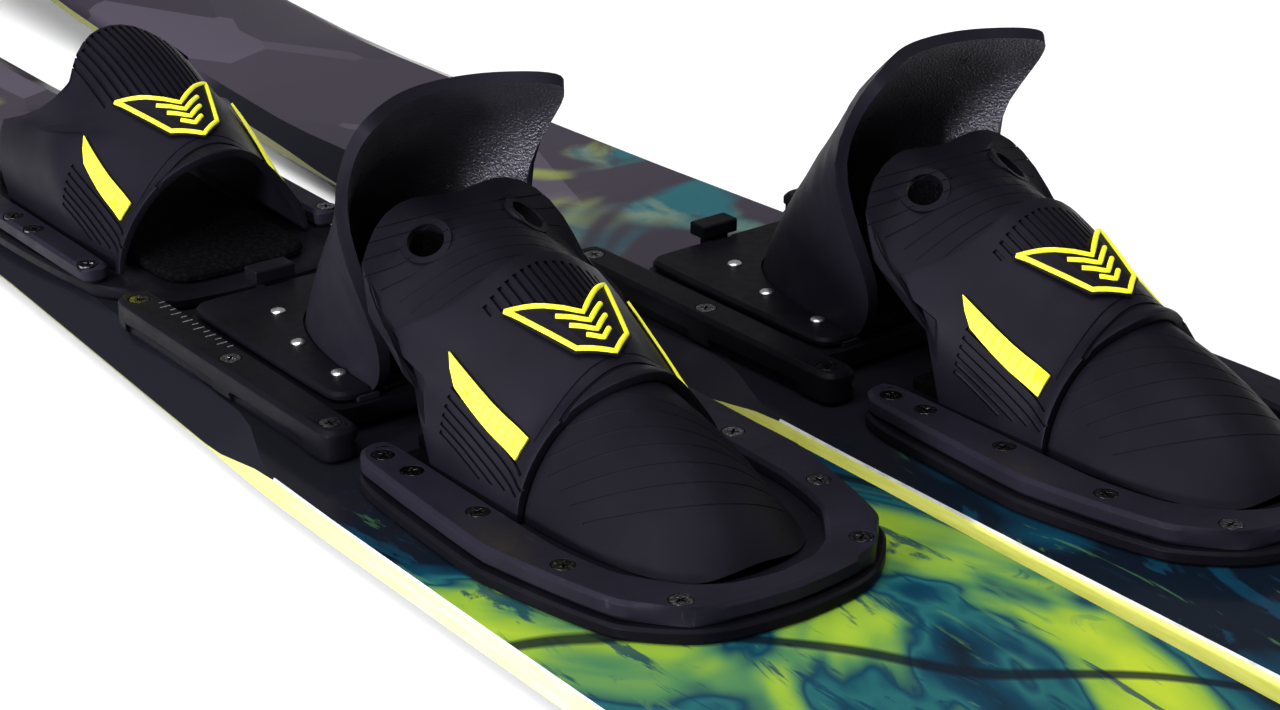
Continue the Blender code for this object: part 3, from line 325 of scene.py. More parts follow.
def plastic(name, dark, light, rough, specular, soft_edge=0.0006):
    made, tree, shader = new_finish(name, rough, specular)
    shader.inputs["Specular Tint"].default_value = VIOLET_TINT
    place = place_of(tree)
    base = ramp(tree, noise(tree, place, 30, 4), [(0.3, dark), (0.7, light)])
    scuffs = spread(tree, noise(tree, place_of(tree, 0.5, (1, 7, 1)), 130, 6, 0.8), 0.66, 0.8, 0, 0.35)
    scuffed = tuple(SCUFF_GAIN * channel for channel in light)
    tree.links.new(mix(tree, scuffs, base, scuffed), shader.inputs["Base Color"])
    worn = spread(tree, noise(tree, place, 200, 4), 0.3, 0.7, rough - 0.06, rough + 0.08)
    tree.links.new(worn, shader.inputs["Roughness"])
    bump(tree, shader, noise(tree, place, 3800, 2), 0.2, 0.0002, soft_edge)
    return made


PLASTIC = plastic("black_plastic", (0.0022, 0.0022, 0.0034), (0.0044, 0.0042, 0.0062), 0.36, 0.04)
FRAME_PLASTIC = plastic("frame_plastic", (0.007, 0.0063, 0.0105), (0.0105, 0.0095, 0.016), 0.40, 0.06)
FIN_PLASTIC = plastic("fin_plastic", (0.007, 0.007, 0.008), (0.011, 0.011, 0.013), 0.34, 0.2)

FOAM, foam_tree, foam_shader = new_finish("footbed_foam", 0.85, 0.02)
pebbles = add(foam_tree, "ShaderNodeTexVoronoi", {"Scale": 420.0})
foam_tree.links.new(place_of(foam_tree), pebbles.inputs["Vector"])
foam_stops = [(0.0, (0.0035, 0.0035, 0.0044)), (0.6, (0.0012, 0.0012, 0.0017))]
foam_colour = ramp(foam_tree, pebbles.outputs["Distance"], foam_stops)
foam_tree.links.new(foam_colour, foam_shader.inputs["Base Color"])
bump(foam_tree, foam_shader, pebbles.outputs["Distance"], 0.6, 0.0006)
print("plastic and foam:", PLASTIC.name, FRAME_PLASTIC.name, FIN_PLASTIC.name, FOAM.name)

# %% [markdown]
# Neon inlays, screws and rivets
#
# The bright inlays are a second rubber, dyed fluorescent yellow. Dust settles in its grain, so it is
# a little deeper in the hollows. The screws are black-oxide steel with a worn crown, the rivets are
# plain stainless with fine turning marks, and the size ticks are grey paint.

# %% Neon and metal finishes
NEON, neon_tree, neon_shader = new_finish("neon_rubber", 0.46, 0.4)
neon_place = place_of(neon_tree)
neon_stops = [(0.25, (0.80, 0.80, 0.012)), (0.75, (0.96, 0.93, 0.030))]
neon_colour = ramp(neon_tree, noise(neon_tree, neon_place, 60, 5), neon_stops)
neon_tree.links.new(neon_colour, neon_shader.inputs["Base Color"])
bump(neon_tree, neon_shader, noise(neon_tree, neon_place, 2600, 3), 0.2, 0.0002, 0.0004)


def metal(name, colour, worn, rough, wear):
    """More wear spreads the worn colour further."""
    made, tree, shader = new_finish(name, rough, 0.5, 1.0)
    place = place_of(tree)
    share = spread(tree, noise(tree, place, 700, 5), 0.5 - wear, 0.75, 0, 1)
    tree.links.new(mix(tree, share, colour, worn), shader.inputs["Base Color"])
    turned = spread(tree, noise(tree, place, 1500, 3), 0.3, 0.7, rough, rough + 0.15)
    tree.links.new(turned, shader.inputs["Roughness"])
    bump(tree, shader, noise(tree, place, 2500, 2), 0.25, 0.0001)
    return made


SCREW_STEEL = metal("screw_steel", (0.06, 0.06, 0.066), (0.45, 0.45, 0.48), 0.15, 0.0)
RIVET_STEEL = metal("rivet_steel", (0.52, 0.52, 0.55), (0.75, 0.75, 0.78), 0.24, 0.2)
TICK_PAINT, tick_tree, tick_shader = new_finish("tick_paint", 0.5, 0.3)
tick_stops = [(0.3, (0.05, 0.05, 0.055)), (0.7, (0.16, 0.16, 0.17))]
tick_colour = ramp(tick_tree, noise(tick_tree, place_of(tick_tree), 900, 4), tick_stops)
tick_tree.links.new(tick_colour, tick_shader.inputs["Base Color"])
print("neon and metal:", NEON.name, SCREW_STEEL.name, RIVET_STEEL.name, TICK_PAINT.name)

# %% [markdown]
# The top sheet
#
# The deck is a printed sheet under clear lacquer. In front of the binding it shows loose paint swirls
# in navy, teal and yellow-green, the middle is black, and the tail is mauve grey in faint facets
# with a few clouds of colour. The print here is made from warped noise in metres along the
# ski, so it is a pattern of its own with the same colours and scale. The bevels along the edges are
# black, and the surface normal finds them.

# %% Top sheet finish
NAVY = (0.003, 0.006, 0.012)
DEEP_TEAL = (0.003, 0.030, 0.056)
TEAL = (0.012, 0.085, 0.090)
MOSS = (0.050, 0.150, 0.060)
LIME = (0.17, 0.29, 0.030)
YELLOW = (0.32, 0.41, 0.024)
MIDDLE_BLACK = (0.006, 0.006, 0.009)
BEVEL_BLACK = (0.006, 0.006, 0.010)
PAINT_STOPS = [
    (0.40, NAVY), (0.46, DEEP_TEAL), (0.49, TEAL), (0.505, DEEP_TEAL),
    (0.53, MOSS), (0.57, LIME), (0.66, YELLOW),
]
MAUVE_STOPS = [(0.0, (0.026, 0.021, 0.032)), (0.5, (0.042, 0.034, 0.050)), (1.0, (0.066, 0.055, 0.080))]
CLOUD_STOPS = [(0.42, (0.012, 0.09, 0.11)), (0.5, (0.10, 0.16, 0.13)), (0.6, (0.17, 0.20, 0.05))]
PAINT_START = 0.19
PAINT_FULL = 0.24


def paint_swirls(tree, place):
    """Navy, teal and lime paint, pulled about by two layers of warp, with thin dark brush lines."""
    swirl = math_node(tree, "SUBTRACT", noise(tree, place, 4.6, 3.5, 1.5, 0.5), 0.035)
    colour = ramp(tree, swirl, PAINT_STOPS)
    brush = noise(tree, place_of(tree, 0.8, (0.6, 2.4, 1.0)), 17.0, 5.0, 2.4, 0.58)
    washed = mix(tree, spread(tree, brush, 0.56, 0.64, 0, 0.85, smooth=True), colour, DEEP_TEAL)
    light = mix(tree, spread(tree, brush, 0.40, 0.34, 0, 0.5, smooth=True), washed, MOSS)
    wave = {"Scale": 2.6, "Distortion": 13.0, "Detail": 2.0, "Detail Scale": 1.1}
    lines = add(tree, "ShaderNodeTexWave", wave)
    tree.links.new(place, lines.inputs["Vector"])
    return mix(tree, spread(tree, lines.outputs["Fac"], 0.975, 0.995, 0, 0.92), light, NAVY)


def mauve_facets(tree, place):
    """Grey mauve in flat tones with straight borders, like folded paper."""
    cells = add(tree, "ShaderNodeTexVoronoi", {"Scale": 9.0, "Randomness": 1.0}, distance="CHEBYCHEV")
    tree.links.new(place, cells.inputs["Vector"])
    tone = add(tree, "ShaderNodeSeparateColor")
    tree.links.new(cells.outputs["Color"], tone.inputs["Color"])
    return ramp(tree, tone.outputs["Red"], MAUVE_STOPS)


def top_sheet(name, start, mauve_end, cloud_start, seed):
    """start is the world x of the binding's zero point, and the other places are metres from it.

    seed shifts the pattern, so that the two skis differ.
    """
    made, tree, shader = new_finish(name, 0.16, 0.07)
    place = place_of(tree, shift=(-start, seed, 0))
    split = add(tree, "ShaderNodeSeparateXYZ")
    tree.links.new(place, split.inputs["Vector"])
    along = split.outputs["X"]
    ragged = math_node(tree, "MULTIPLY_ADD", noise(tree, place, 14, 5, 1.5), 0.16)
    ragged.node.inputs[2].default_value = -0.08
    warped = math_node(tree, "ADD", along, ragged)
    print_place = place_of(tree, 0.35, (0.8, 1.25, 1.0), (-start, seed, 0))
    swirls = paint_swirls(tree, print_place)
    facets = mauve_facets(tree, place_of(tree, 0.6, (0.8, 1.6, 0.2), (-start, seed, 0)))
    clouds = ramp(tree, noise(tree, place, 13, 4, 1.0), CLOUD_STOPS)
    cloudy = spread(tree, noise(tree, place, 7, 3, 1.2), 0.50, 0.58, smooth=True)
    near_binding = spread(tree, warped, cloud_start, cloud_start + 0.03, smooth=True)
    rear = mix(tree, math_node(tree, "MULTIPLY", cloudy, near_binding), facets, clouds)
    past_mauve = spread(tree, warped, mauve_end, mauve_end + 0.02, smooth=True)
    middle = mix(tree, past_mauve, rear, MIDDLE_BLACK)
    whole = mix(tree, spread(tree, warped, PAINT_START, PAINT_FULL, smooth=True), middle, swirls)
    surface = add(tree, "ShaderNodeNewGeometry")
    facing = add(tree, "ShaderNodeSeparateXYZ")
    tree.links.new(surface.outputs["Normal"], facing.inputs["Vector"])
    bevelled = spread(tree, facing.outputs["Z"], 0.93, 0.97, 1, 0)
    colour = mix(tree, bevelled, whole, BEVEL_BLACK)
    tree.links.new(colour, shader.inputs["Base Color"])
    scratches = noise(tree, place_of(tree, 0.05, (1, 60, 1)), 60, 4)
    tree.links.new(spread(tree, scratches, 0.3, 0.75, 0.11, 0.24), shader.inputs["Roughness"])
    bump(tree, shader, noise(tree, place, 120, 2), 0.06, 0.0004)
    return made


TOP_SHEET_A = top_sheet("top_sheet_a", FRAME_A.translation.x, -0.27, -0.30, 0.0)
TOP_SHEET_B = top_sheet("top_sheet_b", FRAME_B.translation.x, 0.02, -0.16, 3.7)
print("top sheets:", TOP_SHEET_A.name, TOP_SHEET_B.name)

# %% [markdown]
# Sidewall, edge line and base
#
# Between the top sheet and the base runs a yellow sidewall of cast resin. It is bright in front and
# turns olive towards the tail, which is painted shade where the sidewall lies in shadow. The top
# sheet's cut edge shows as a thin grey line above it. The base is a plain black sheet, scratched
# lengthways by use.

# %% Board edge finishes
SIDEWALL, wall_tree, wall_shader = new_finish("sidewall_resin", 0.3, 0.35)
wall_place = place_of(wall_tree)
wall_split = add(wall_tree, "ShaderNodeSeparateXYZ")
wall_tree.links.new(wall_place, wall_split.inputs["Vector"])
wall_stops = [(0.3, (0.74, 0.77, 0.15)), (0.7, (0.90, 0.91, 0.27))]
wall_tone = ramp(wall_tree, noise(wall_tree, place_of(wall_tree, 0, (1, 1, 12)), 40, 4), wall_stops)
# Painted shade: the sidewall darkens to olive towards the tail, where it lies in shadow.
painted_tail_shade = spread(wall_tree, wall_split.outputs["X"], -0.20, 0.02, smooth=True)
wall_tree.links.new(mix(wall_tree, painted_tail_shade, (0.12, 0.12, 0.025), wall_tone), wall_shader.inputs["Base Color"])
bump(wall_tree, wall_shader, noise(wall_tree, place_of(wall_tree, 0, (1, 1, 20)), 90, 3), 0.12, 0.0003)

EDGE_LINE, line_tree, line_shader = new_finish("edge_line", 0.3, 0.4)
line_stops = [(0.3, (0.30, 0.31, 0.30)), (0.7, (0.5, 0.51, 0.48))]
line_tone = ramp(line_tree, noise(line_tree, place_of(line_tree), 120, 4), line_stops)
line_tree.links.new(line_tone, line_shader.inputs["Base Color"])

BASE_SHEET, base_tree, base_shader = new_finish("base_sheet", 0.34, 0.3)
base_marks = noise(base_tree, place_of(base_tree, 0, (1, 45, 1)), 30, 6)
base_tone = ramp(base_tree, base_marks, [(0.35, (0.006, 0.006, 0.008)), (0.7, (0.016, 0.016, 0.020))])
base_tree.links.new(base_tone, base_shader.inputs["Base Color"])
bump(base_tree, base_shader, base_marks, 0.1, 0.0002)
print("board edges:", SIDEWALL.name, EDGE_LINE.name, BASE_SHEET.name)

# %% [markdown]
# Working on a copy
#
# A CAD node is loose triangles, so a copy is merged before it is shaped: doubled points
# are joined and triangle pairs become quads. Where the CAD leaves a rim in straight runs, its
# points are drawn towards their neighbours along the rim. A narrow bevel then keeps each rim crisp,
# and one level of subdivision rounds the long curves that the coarse CAD mesh shows as facets.

# %% Copy helpers
DOUBLES_WITHIN = 0.00001
QUAD_FACE_ANGLE, QUAD_SHAPE_ANGLE = 0.5, 0.8
RIM_EDGE = 0.0005
SMOOTH_UNDER = 40
SHARP_CORNER = 0.9


def pick(piece):
    bpy.ops.object.select_all(action="DESELECT")
    piece.select_set(True)
    bpy.context.view_layer.objects.active = piece


def merged_copy(node_name, new_name):
    piece = bpy.data.objects.new(new_name, nodes[node_name].data.copy())
    scene.collection.objects.link(piece)
    pick(piece)
    bpy.ops.mesh.customdata_custom_splitnormals_clear()
    bpy.ops.object.mode_set(mode="EDIT")
    bpy.ops.mesh.select_all(action="SELECT")
    bpy.ops.mesh.remove_doubles(threshold=DOUBLES_WITHIN)
    bpy.ops.mesh.select_all(action="SELECT")
    bpy.ops.mesh.tris_convert_to_quads(face_threshold=QUAD_FACE_ANGLE, shape_threshold=QUAD_SHAPE_ANGLE)
    bpy.ops.object.mode_set(mode="OBJECT")
    return piece


def apply_modifiers(piece):
    pick(piece)
    for modifier in list(piece.modifiers):
        bpy.ops.object.modifier_apply(modifier=modifier.name)


def smooth(piece, degrees):
    pick(piece)
    bpy.ops.object.shade_smooth_by_angle(angle=math.radians(degrees))


def refine(piece, edge, rim_angle=38):
    """Bevels rims sharper than rim_angle degrees, subdivides and shades smooth."""
    bevel = piece.modifiers.new("rim", "BEVEL")
    bevel.width = edge
    bevel.segments = 2
    bevel.limit_method = "ANGLE"
    bevel.angle_limit = math.radians(rim_angle)
    rounder = piece.modifiers.new("round", "SUBSURF")
    rounder.levels = rounder.render_levels = 1
    apply_modifiers(piece)
    smooth(piece, SMOOTH_UNDER)


def sharp_rims(shape, turn):
    """Each point on a sharp rim with its two neighbours there, without the short edges across a wall."""
    sharp = [edge for edge in shape.edges if len(edge.link_faces) == 2 and edge.calc_face_angle() > turn]
    count = {}
    for edge in sharp:
        for point in edge.verts:
            count[point] = count.get(point, 0) + 1
    beside = {}
    for edge in sharp:
        first, second = edge.verts
        if count[first] > 2 and count[second] > 2:
            continue
        beside.setdefault(first, []).append(second)
        beside.setdefault(second, []).append(first)
    return {point: found for point, found in beside.items() if len(found) == 2}


def evened(point, first, second):
    """The point drawn towards its two neighbours, the nearer one more."""
    near, far = 1 / max((first - point).length, 1e-5), 1 / max((second - point).length, 1e-5)
    return point * 0.5 + (first * near + second * far) / (near + far) * 0.5


def round_rims(piece, place, keep, rounds=3, longest=None, turn=1.0, reach=0.0):
    """Evens a rim along its own line, so that its corners turn round.

    keep says which binding places stay. Rim edges over the longest length are divided first. reach
    moves the sharpest corners outwards beforehand, so that the rounded corner ends where the sharp
    one did. turn is the least angle, in radians, between the two faces at a rim.
    """
    shape = bmesh.new()
    shape.from_mesh(piece.data)
    if longest:
        for cuts in (3, 1):
            rims = sharp_rims(shape, turn)
            long_edges = [
                edge for edge in shape.edges
                if edge.calc_length() > longest * cuts and edge.verts[1] in rims.get(edge.verts[0], ())
            ]
            bmesh.ops.subdivide_edges(shape, edges=long_edges, cuts=cuts)
    to_binding = place.inverted()
    rims = {
        point: beside for point, beside in sharp_rims(shape, turn).items()
        if not keep(to_binding @ point.co)
    }
    for point, (a, b) in rims.items():
        if reach and (point.co - a.co).angle(b.co - point.co, 0.0) > SHARP_CORNER:
            outwards = point.co - (a.co + b.co) / 2
            outwards.z = 0
            point.co += outwards.normalized() * reach
    for _ in range(rounds):
        for point, spot in [(p, evened(p.co, a.co, b.co)) for p, (a, b) in rims.items()]:
            point.co = spot
    shape.to_mesh(piece.data)
    shape.free()
    return len(rims)


def dress(piece, *finishes):
    piece.data.materials.clear()
    for made in finishes:
        piece.data.materials.append(made)


print("copy helpers ready")

# %% [markdown]
# The boards
#
# Each board is one lofted shell in the CAD. Its faces are told apart by where they look: up is
# top sheet, down is base, sideways is sidewall, and the narrow chamfer in front is the grey line.

# %% Boards
SIDE_SLOPE = 0.35
CHAMFER_SLOPE = 0.8
CHAMFER_AREA = 0.0002
EDGE_LINE_FROM_X = -0.1
BOARD_SMOOTH_UNDER = 22
for (prefix, _, body), sheet in zip(FRONT_BINDINGS, (TOP_SHEET_A, TOP_SHEET_B)):
    board = merged_copy(prefix + "_board", prefix + "_lacquered_board")
    dress(board, sheet, SIDEWALL, BASE_SHEET, EDGE_LINE)
    for face in board.data.polygons:
        up = face.normal.z
        if up < -SIDE_SLOPE:
            face.material_index = 2
        elif up < SIDE_SLOPE:
            face.material_index = 1
        elif up < CHAMFER_SLOPE and face.area < CHAMFER_AREA and face.center.x > EDGE_LINE_FROM_X:
            face.material_index = 3
    smooth(board, BOARD_SMOOTH_UNDER)
    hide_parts(prefix + "_board")
    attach(board, body)
    print(board.name, len(board.data.polygons), "faces")

# %% [markdown]
# Lines on a curved skin
#
# The rubber carries fine moulded lines, grooves and rib slots. Rays cast at the skin find the points
# of each one, so that it lies exactly on the skin. It is then swept as a thin tube and cut out by a
# Boolean. Cutting gives a real recess that holds its own shadow from every side.

# %% Line helpers
RAY_RUN_UP = 0.06
CENTRE_BACK = 26.0
SPOKE_COUNT = 72
SPOKE_START = 110
SHORTEST_SPOKE = 12
WIDEST_STEP = 0.009


def touch(piece, origin, direction):
    """Where a ray from outside meets the piece, or None. origin and direction are world."""
    hit, point, normal, _ = piece.ray_cast(origin, direction.normalized())
    return point if hit and normal.dot(direction) < 0 else None


def cast_line(piece, place, start, end, direction, steps=16):
    """Points on the skin between two binding places, each met by a ray along the binding direction."""
    turned = (place.to_3x3() @ Vector(direction)).normalized()
    found = []
    for i in range(steps + 1):
        point = place @ Vector(start).lerp(Vector(end), i / steps)
        met = touch(piece, point - turned * RAY_RUN_UP, turned)
        if met is not None:
            found.append(met)
    return found


def slice_lines(piece, place, crest_x, yaw, slope, reach, sink=0.0):
    """Lines where a plane across the foot meets the skin, split where the skin has a hole.

    The plane is turned by yaw about z and rises to the front by slope, both in degrees. Rays come in
    along spokes of its centre, which lies behind the crest, to reach degrees on each side. The line
    lies sink millimetres under the skin.
    """
    above = (crest_x, 0, 60)
    crest = cast_line(piece, place, above, above, (0, 0, -1), 1)
    if not crest:
        return []
    crest_z = (place.inverted() @ crest[0]).z
    tilt = Vector((math.cos(math.radians(slope)), 0, math.sin(math.radians(slope))))
    across = Vector((math.sin(math.radians(yaw)), math.cos(math.radians(yaw)), 0))
    centre = Vector((crest_x, 0, crest_z)) - CENTRE_BACK * tilt
    found = [[]]
    for i in range(SPOKE_COUNT + 1):
        angle = math.radians(reach) * (2 * i / SPOKE_COUNT - 1)
        spoke = (tilt * math.cos(angle) + across * math.sin(angle)).normalized()
        met = touch(piece, place @ (centre + spoke * SPOKE_START), place.to_3x3() @ -spoke)
        if met is None or (place.inverted() @ met - centre).dot(spoke) < SHORTEST_SPOKE:
            continue
        if found[-1] and (met - found[-1][-1]).length > WIDEST_STEP:
            found.append([])
        found[-1].append(met - place.to_3x3() @ spoke * sink)
    return [line for line in found if len(line) > 3]


def tube(name, lines, width, segments):
    """One mesh of closed round tubes, width millimetres wide, along the lines of world points."""
    curve = bpy.data.curves.new(name, "CURVE")
    curve.dimensions = "3D"
    curve.bevel_depth = width / 2000
    curve.bevel_resolution = segments - 1
    curve.use_fill_caps = True
    for points in lines:
        spline = curve.splines.new("POLY")
        spline.points.add(len(points) - 1)
        for control, point in zip(spline.points, points):
            control.co = (*point, 1)
    made = bpy.data.objects.new(name, curve)
    scene.collection.objects.link(made)
    pick(made)
    bpy.ops.object.convert(target="MESH")
    return bpy.context.object


def sunk(lines, place, depth):
    """The lines moved down by depth millimetres, for a groove that is deeper than it is wide."""
    down = place.to_3x3() @ Vector((0, 0, -depth))
    return [[point + down for point in line] for line in lines]


def cut_once(piece, lines, width):
    """Cuts all the lines out with one Boolean, and puts the piece back if that loses any of it."""
    kept = piece.data.copy()
    cutter = tube("line_cutter", lines, width, 2)
    cut = piece.modifiers.new("cut", "BOOLEAN")
    cut.operation = "DIFFERENCE"
    cut.solver = "EXACT"
    cut.object = cutter
    apply_modifiers(piece)
    bpy.data.objects.remove(cutter, do_unlink=True)
    if len(piece.data.polygons) < len(kept.polygons):
        piece.data = kept
        return False
    return True


def cut_lines(piece, lines, width):
    """Cuts all the lines, or each by itself if all at once fails. Returns how many were cut."""
    lines = [line for line in lines if len(line) > 2]
    if cut_once(piece, lines, width):
        return len(lines)
    return sum(cut_once(piece, [line], width) for line in lines)


print("line helpers ready")

# %% [markdown]
# The toe wraps
#
# The toe wrap is one thin rubber shell over the forefoot, open at the neck and closed at the
# toes. Fine moulded lines cross it from side to side, over the instep and over the toes. The lines
# are slices by tilted planes, because that is how they lie on the real mould.

# %% Toe wraps
# Each line is its plane's crest_x, yaw and slope.
INSTEP_LINES = (
    (158, 4, 32), (164, 5, 38), (170, 6, 45), (176, 8, 52),
    (182, 10, 59), (188, 11, 66), (194, 13, 72), (200, 15, 78),
)
TOE_LINES = (
    (272, 42, 84), (281, 40, 74), (290, 38, 64), (298, 35, 55),
    (306, 32, 48), (314, 30, 40), (322, 28, 34),
)
MOULD_LINE_REACH = 82
MOULD_LINE_WIDTH = 0.7
for prefix, place, body in FRONT_BINDINGS:
    wrap = merged_copy(prefix + "_toe_wrap", prefix + "_toe_wrap_skin")
    refine(wrap, RIM_EDGE)
    bpy.context.view_layer.update()
    lines = []
    for crest_x, yaw, slope in INSTEP_LINES + TOE_LINES:
        lines += slice_lines(wrap, place, crest_x, yaw, slope, MOULD_LINE_REACH)
    count = cut_lines(wrap, lines, MOULD_LINE_WIDTH)
    smooth(wrap, SMOOTH_UNDER)
    dress(wrap, RUBBER)
    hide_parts(prefix + "_toe_wrap")
    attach(wrap, body)
    print(wrap.name, count, "lines,", len(wrap.data.polygons), "faces")

# %% [markdown]
# The overlay bands
#
# A thicker rubber band lies over the instep and holds the wrap down. Behind its badge it has a patch
# of narrow rib slots, and below each stripe a set of parallel grooves. Two arched grooves behind its
# front edge leave a double lip there. The rear toe piece is the same moulding, used alone.

# %% Overlay bands
RIB_ROWS = [-24.5 + 3.5 * i for i in range(15)]
RIB_REAR_X = {"a": 203.5, "b": 203.5, "rear": 172.0}
RIB_WIDTH, RIB_SINK = 2.2, 0.5
RIB_REAR_SWEEP = 0.09
RIB_TO_BADGE = 2.6
BADGE_NOTCH_X, BADGE_WING_X, BADGE_WING_Y = 231.5, 214.0, 23.5
# Each arched groove is its crest_x, width and sink.
ARCH_GROOVES = ((258.2, 2.3, 0.5), (252.6, 1.0, 0.1))
ARCH_SLOPE, ARCH_REACH = 89, 88
STRIPE_LOW_LINE = (Vector((214.2, 0, 32.2)), Vector((256.7, 0, 12.3)))
STRIPE_Y = 30
GROOVE_COUNT = 6
GROOVE_WIDTH, GROOVE_SINK = 2.0, 0.5
GROOVE_GAP, GROOVE_STEP = 1.9, 2.9
GROOVE_LEAD, GROOVE_STAGGER = 2.0, 1.4
GROOVE_LENGTH, GROOVE_LOWEST_Z = 50.0, 4.5


def badge_edge(y):
    """The x of the badge's notched rear edge at y."""
    return BADGE_NOTCH_X - (BADGE_NOTCH_X - BADGE_WING_X) / BADGE_WING_Y * abs(y)


def stripe_grooves(piece, place, side):
    """Lines side by side under the stripe on one side, each starting a little further forward."""
    start, end = STRIPE_LOW_LINE
    run = (end - start).normalized()
    below = Vector((run.z, 0, -run.x))
    outside = Vector((0, side * STRIPE_Y, 0))
    inwards = place.to_3x3() @ Vector((0, -side * GROOVE_SINK, 0))
    lines = []
    for row in range(GROOVE_COUNT):
        down, back = GROOVE_GAP + GROOVE_STEP * row, GROOVE_LEAD - GROOVE_STAGGER * row
        first = start + below * down - run * back
        last = first + run * min(GROOVE_LENGTH, (first.z - GROOVE_LOWEST_Z) / -run.z)
        line = cast_line(piece, place, first + outside, last + outside, (0, -side, 0))
        lines.append([point + inwards for point in line])
    return lines


def rib_slots(piece, place, rear_x):
    lines = []
    for y in RIB_ROWS:
        rear = (rear_x + RIB_REAR_SWEEP * abs(y), y, 60)
        front = (badge_edge(y) - RIB_TO_BADGE, y, 60)
        lines.append(cast_line(piece, place, rear, front, (0, 0, -1), 10))
    return lines


for prefix, place, body in BINDINGS:
    band = merged_copy(prefix + "_overlay", prefix + "_overlay_band")
    refine(band, RIM_EDGE)
    bpy.context.view_layer.update()
    arches = [
        (slice_lines(band, place, crest_x, 0, ARCH_SLOPE, ARCH_REACH, sink), width)
        for crest_x, width, sink in ARCH_GROOVES
    ]
    slots = sunk(rib_slots(band, place, RIB_REAR_X[prefix]), place, RIB_SINK)
    side_lines = stripe_grooves(band, place, 1) + stripe_grooves(band, place, -1)
    ribs = cut_lines(band, slots, RIB_WIDTH)
    grooves = cut_lines(band, side_lines, GROOVE_WIDTH)
    for arch, width in arches:
        cut_lines(band, arch, width)
    smooth(band, SMOOTH_UNDER)
    dress(band, OVERLAY_RUBBER)
    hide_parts(prefix + "_overlay")
    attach(band, body)
    print(band.name, ribs, "ribs,", grooves, "grooves,", len(band.data.polygons), "faces")

# %% [markdown]
# The heel cups
#
# The heel cup is a tall flared sheet of rubber round the heel. Its two upper corners are turned round.
# Outside and along its rim it is matt, inside it is glossy with a leathery grain. Both finishes have
# a base colour paler than the wraps' rubber, which is painted light. The two finishes share one mesh,
# and each face takes the one for the side it looks to: inner faces look at the heel's axis, which
# leans forward.

# %% Heel cups
CORNERS_FROM_Z = 84
CORNER_REACH = 0.007
CUP_RIM_EDGE = 0.0008
CUP_RIM_ANGLE = 62
HEEL_AXIS_X = 120
HEEL_AXIS_LEAN = 0.3
LOOKS_INWARD = 0.25
LOOKS_UP = 0.35
for prefix, place, _ in FRONT_BINDINGS:
    cup = merged_copy(prefix + "_heel_cup", prefix + "_heel_cup_skin")
    rim_points = round_rims(cup, place, lambda spot: spot.z < CORNERS_FROM_Z, reach=CORNER_REACH)
    refine(cup, CUP_RIM_EDGE, CUP_RIM_ANGLE)
    # Both cup finishes carry painted light in their paler base colours.
    dress(cup, CUP_RUBBER_PAINTED_LIGHT, CUP_SKIN_PAINTED_LIGHT)
    to_binding = place.inverted()
    turn_back = place.to_3x3().inverted()
    for face in cup.data.polygons:
        centre = to_binding @ face.center
        normal = (turn_back @ face.normal).normalized()
        axis_x = HEEL_AXIS_X + HEEL_AXIS_LEAN * centre.z
        inward = Vector((axis_x - centre.x, -centre.y, 0)).normalized()
        if normal.dot(inward) > LOOKS_INWARD and normal.z < LOOKS_UP:
            face.material_index = 1
    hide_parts(prefix + "_heel_cup")
    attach(cup, "heel_" + prefix)
    print(cup.name, rim_points, "rim points evened,", len(cup.data.polygons), "faces")

# %% [markdown]
# Plates, frames and rails
#
# The moulded nylon pieces get copies with softly bevelled rims. The base plates and the toe end of
# the frames are evened along their rims as well, so that they curve where the CAD has straight
# runs. The places round the screws are left as they are.

# %% Plates, frames and rails
RAIL_SCREWS = [(x, 60.4) for x in (0.0, 76.2, 152.4)]
FRAME_SCREWS = [(188.7, 59.5), (206.6, 58.2), (249.1, 57.5), (300.6, 56.8), (345.1, 39.7)]
REAR_SCREWS = [(x, 59.0) for x in (-120.4, -100.5, -48.8)]
SCREW_ROOM = 7
TOE_END_X = 262
EVENING = {"rounds": 24, "longest": 0.006, "turn": 0.6}
plates = [
    (prefix + "_" + kind, place, body, finish)
    for prefix, place, body in FRONT_BINDINGS
    for kind, finish in (("trim_frame", FRAME_PLASTIC), ("base_plate", PLASTIC))
]
plates += [
    ("rear_base_plate", FRAME_REAR, "ski_a", PLASTIC),
    ("rear_frame_left", FRAME_REAR, "ski_a", FRAME_PLASTIC),
    ("rear_frame_right", FRAME_REAR, "ski_a", FRAME_PLASTIC),
]
plates += [
    (prefix + "_" + kind, place, carrier + prefix, PLASTIC)
    for prefix, place, _ in FRONT_BINDINGS
    for kind, carrier in (("rail_left", "ski_"), ("rail_right", "ski_"), ("slider_plate", "heel_"))
]


def near_screw(spot):
    screws = FRAME_SCREWS + RAIL_SCREWS + REAR_SCREWS
    return any(math.hypot(spot.x - x, abs(spot.y) - y) < SCREW_ROOM for x, y in screws)


for node_name, place, body, finish in plates:
    plate = merged_copy(node_name, node_name + "_rounded")
    if "trim_frame" in node_name:
        round_rims(plate, place, lambda spot: near_screw(spot) or spot.x < TOE_END_X, **EVENING)
    elif "base_plate" in node_name:
        round_rims(plate, place, near_screw, **EVENING)
    refine(plate, RIM_EDGE)
    dress(plate, finish)
    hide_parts(node_name)
    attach(plate, body)
    print(plate.name, len(plate.data.polygons), "faces")

# %% [markdown]
# The pieces that keep their shape
#
# Footbeds, pads, fins, racks, slider bases, lock tabs and badges keep their CAD mesh and only get a
# finish. Foam goes under the feet, and whatever the list doesn't name is black plastic.

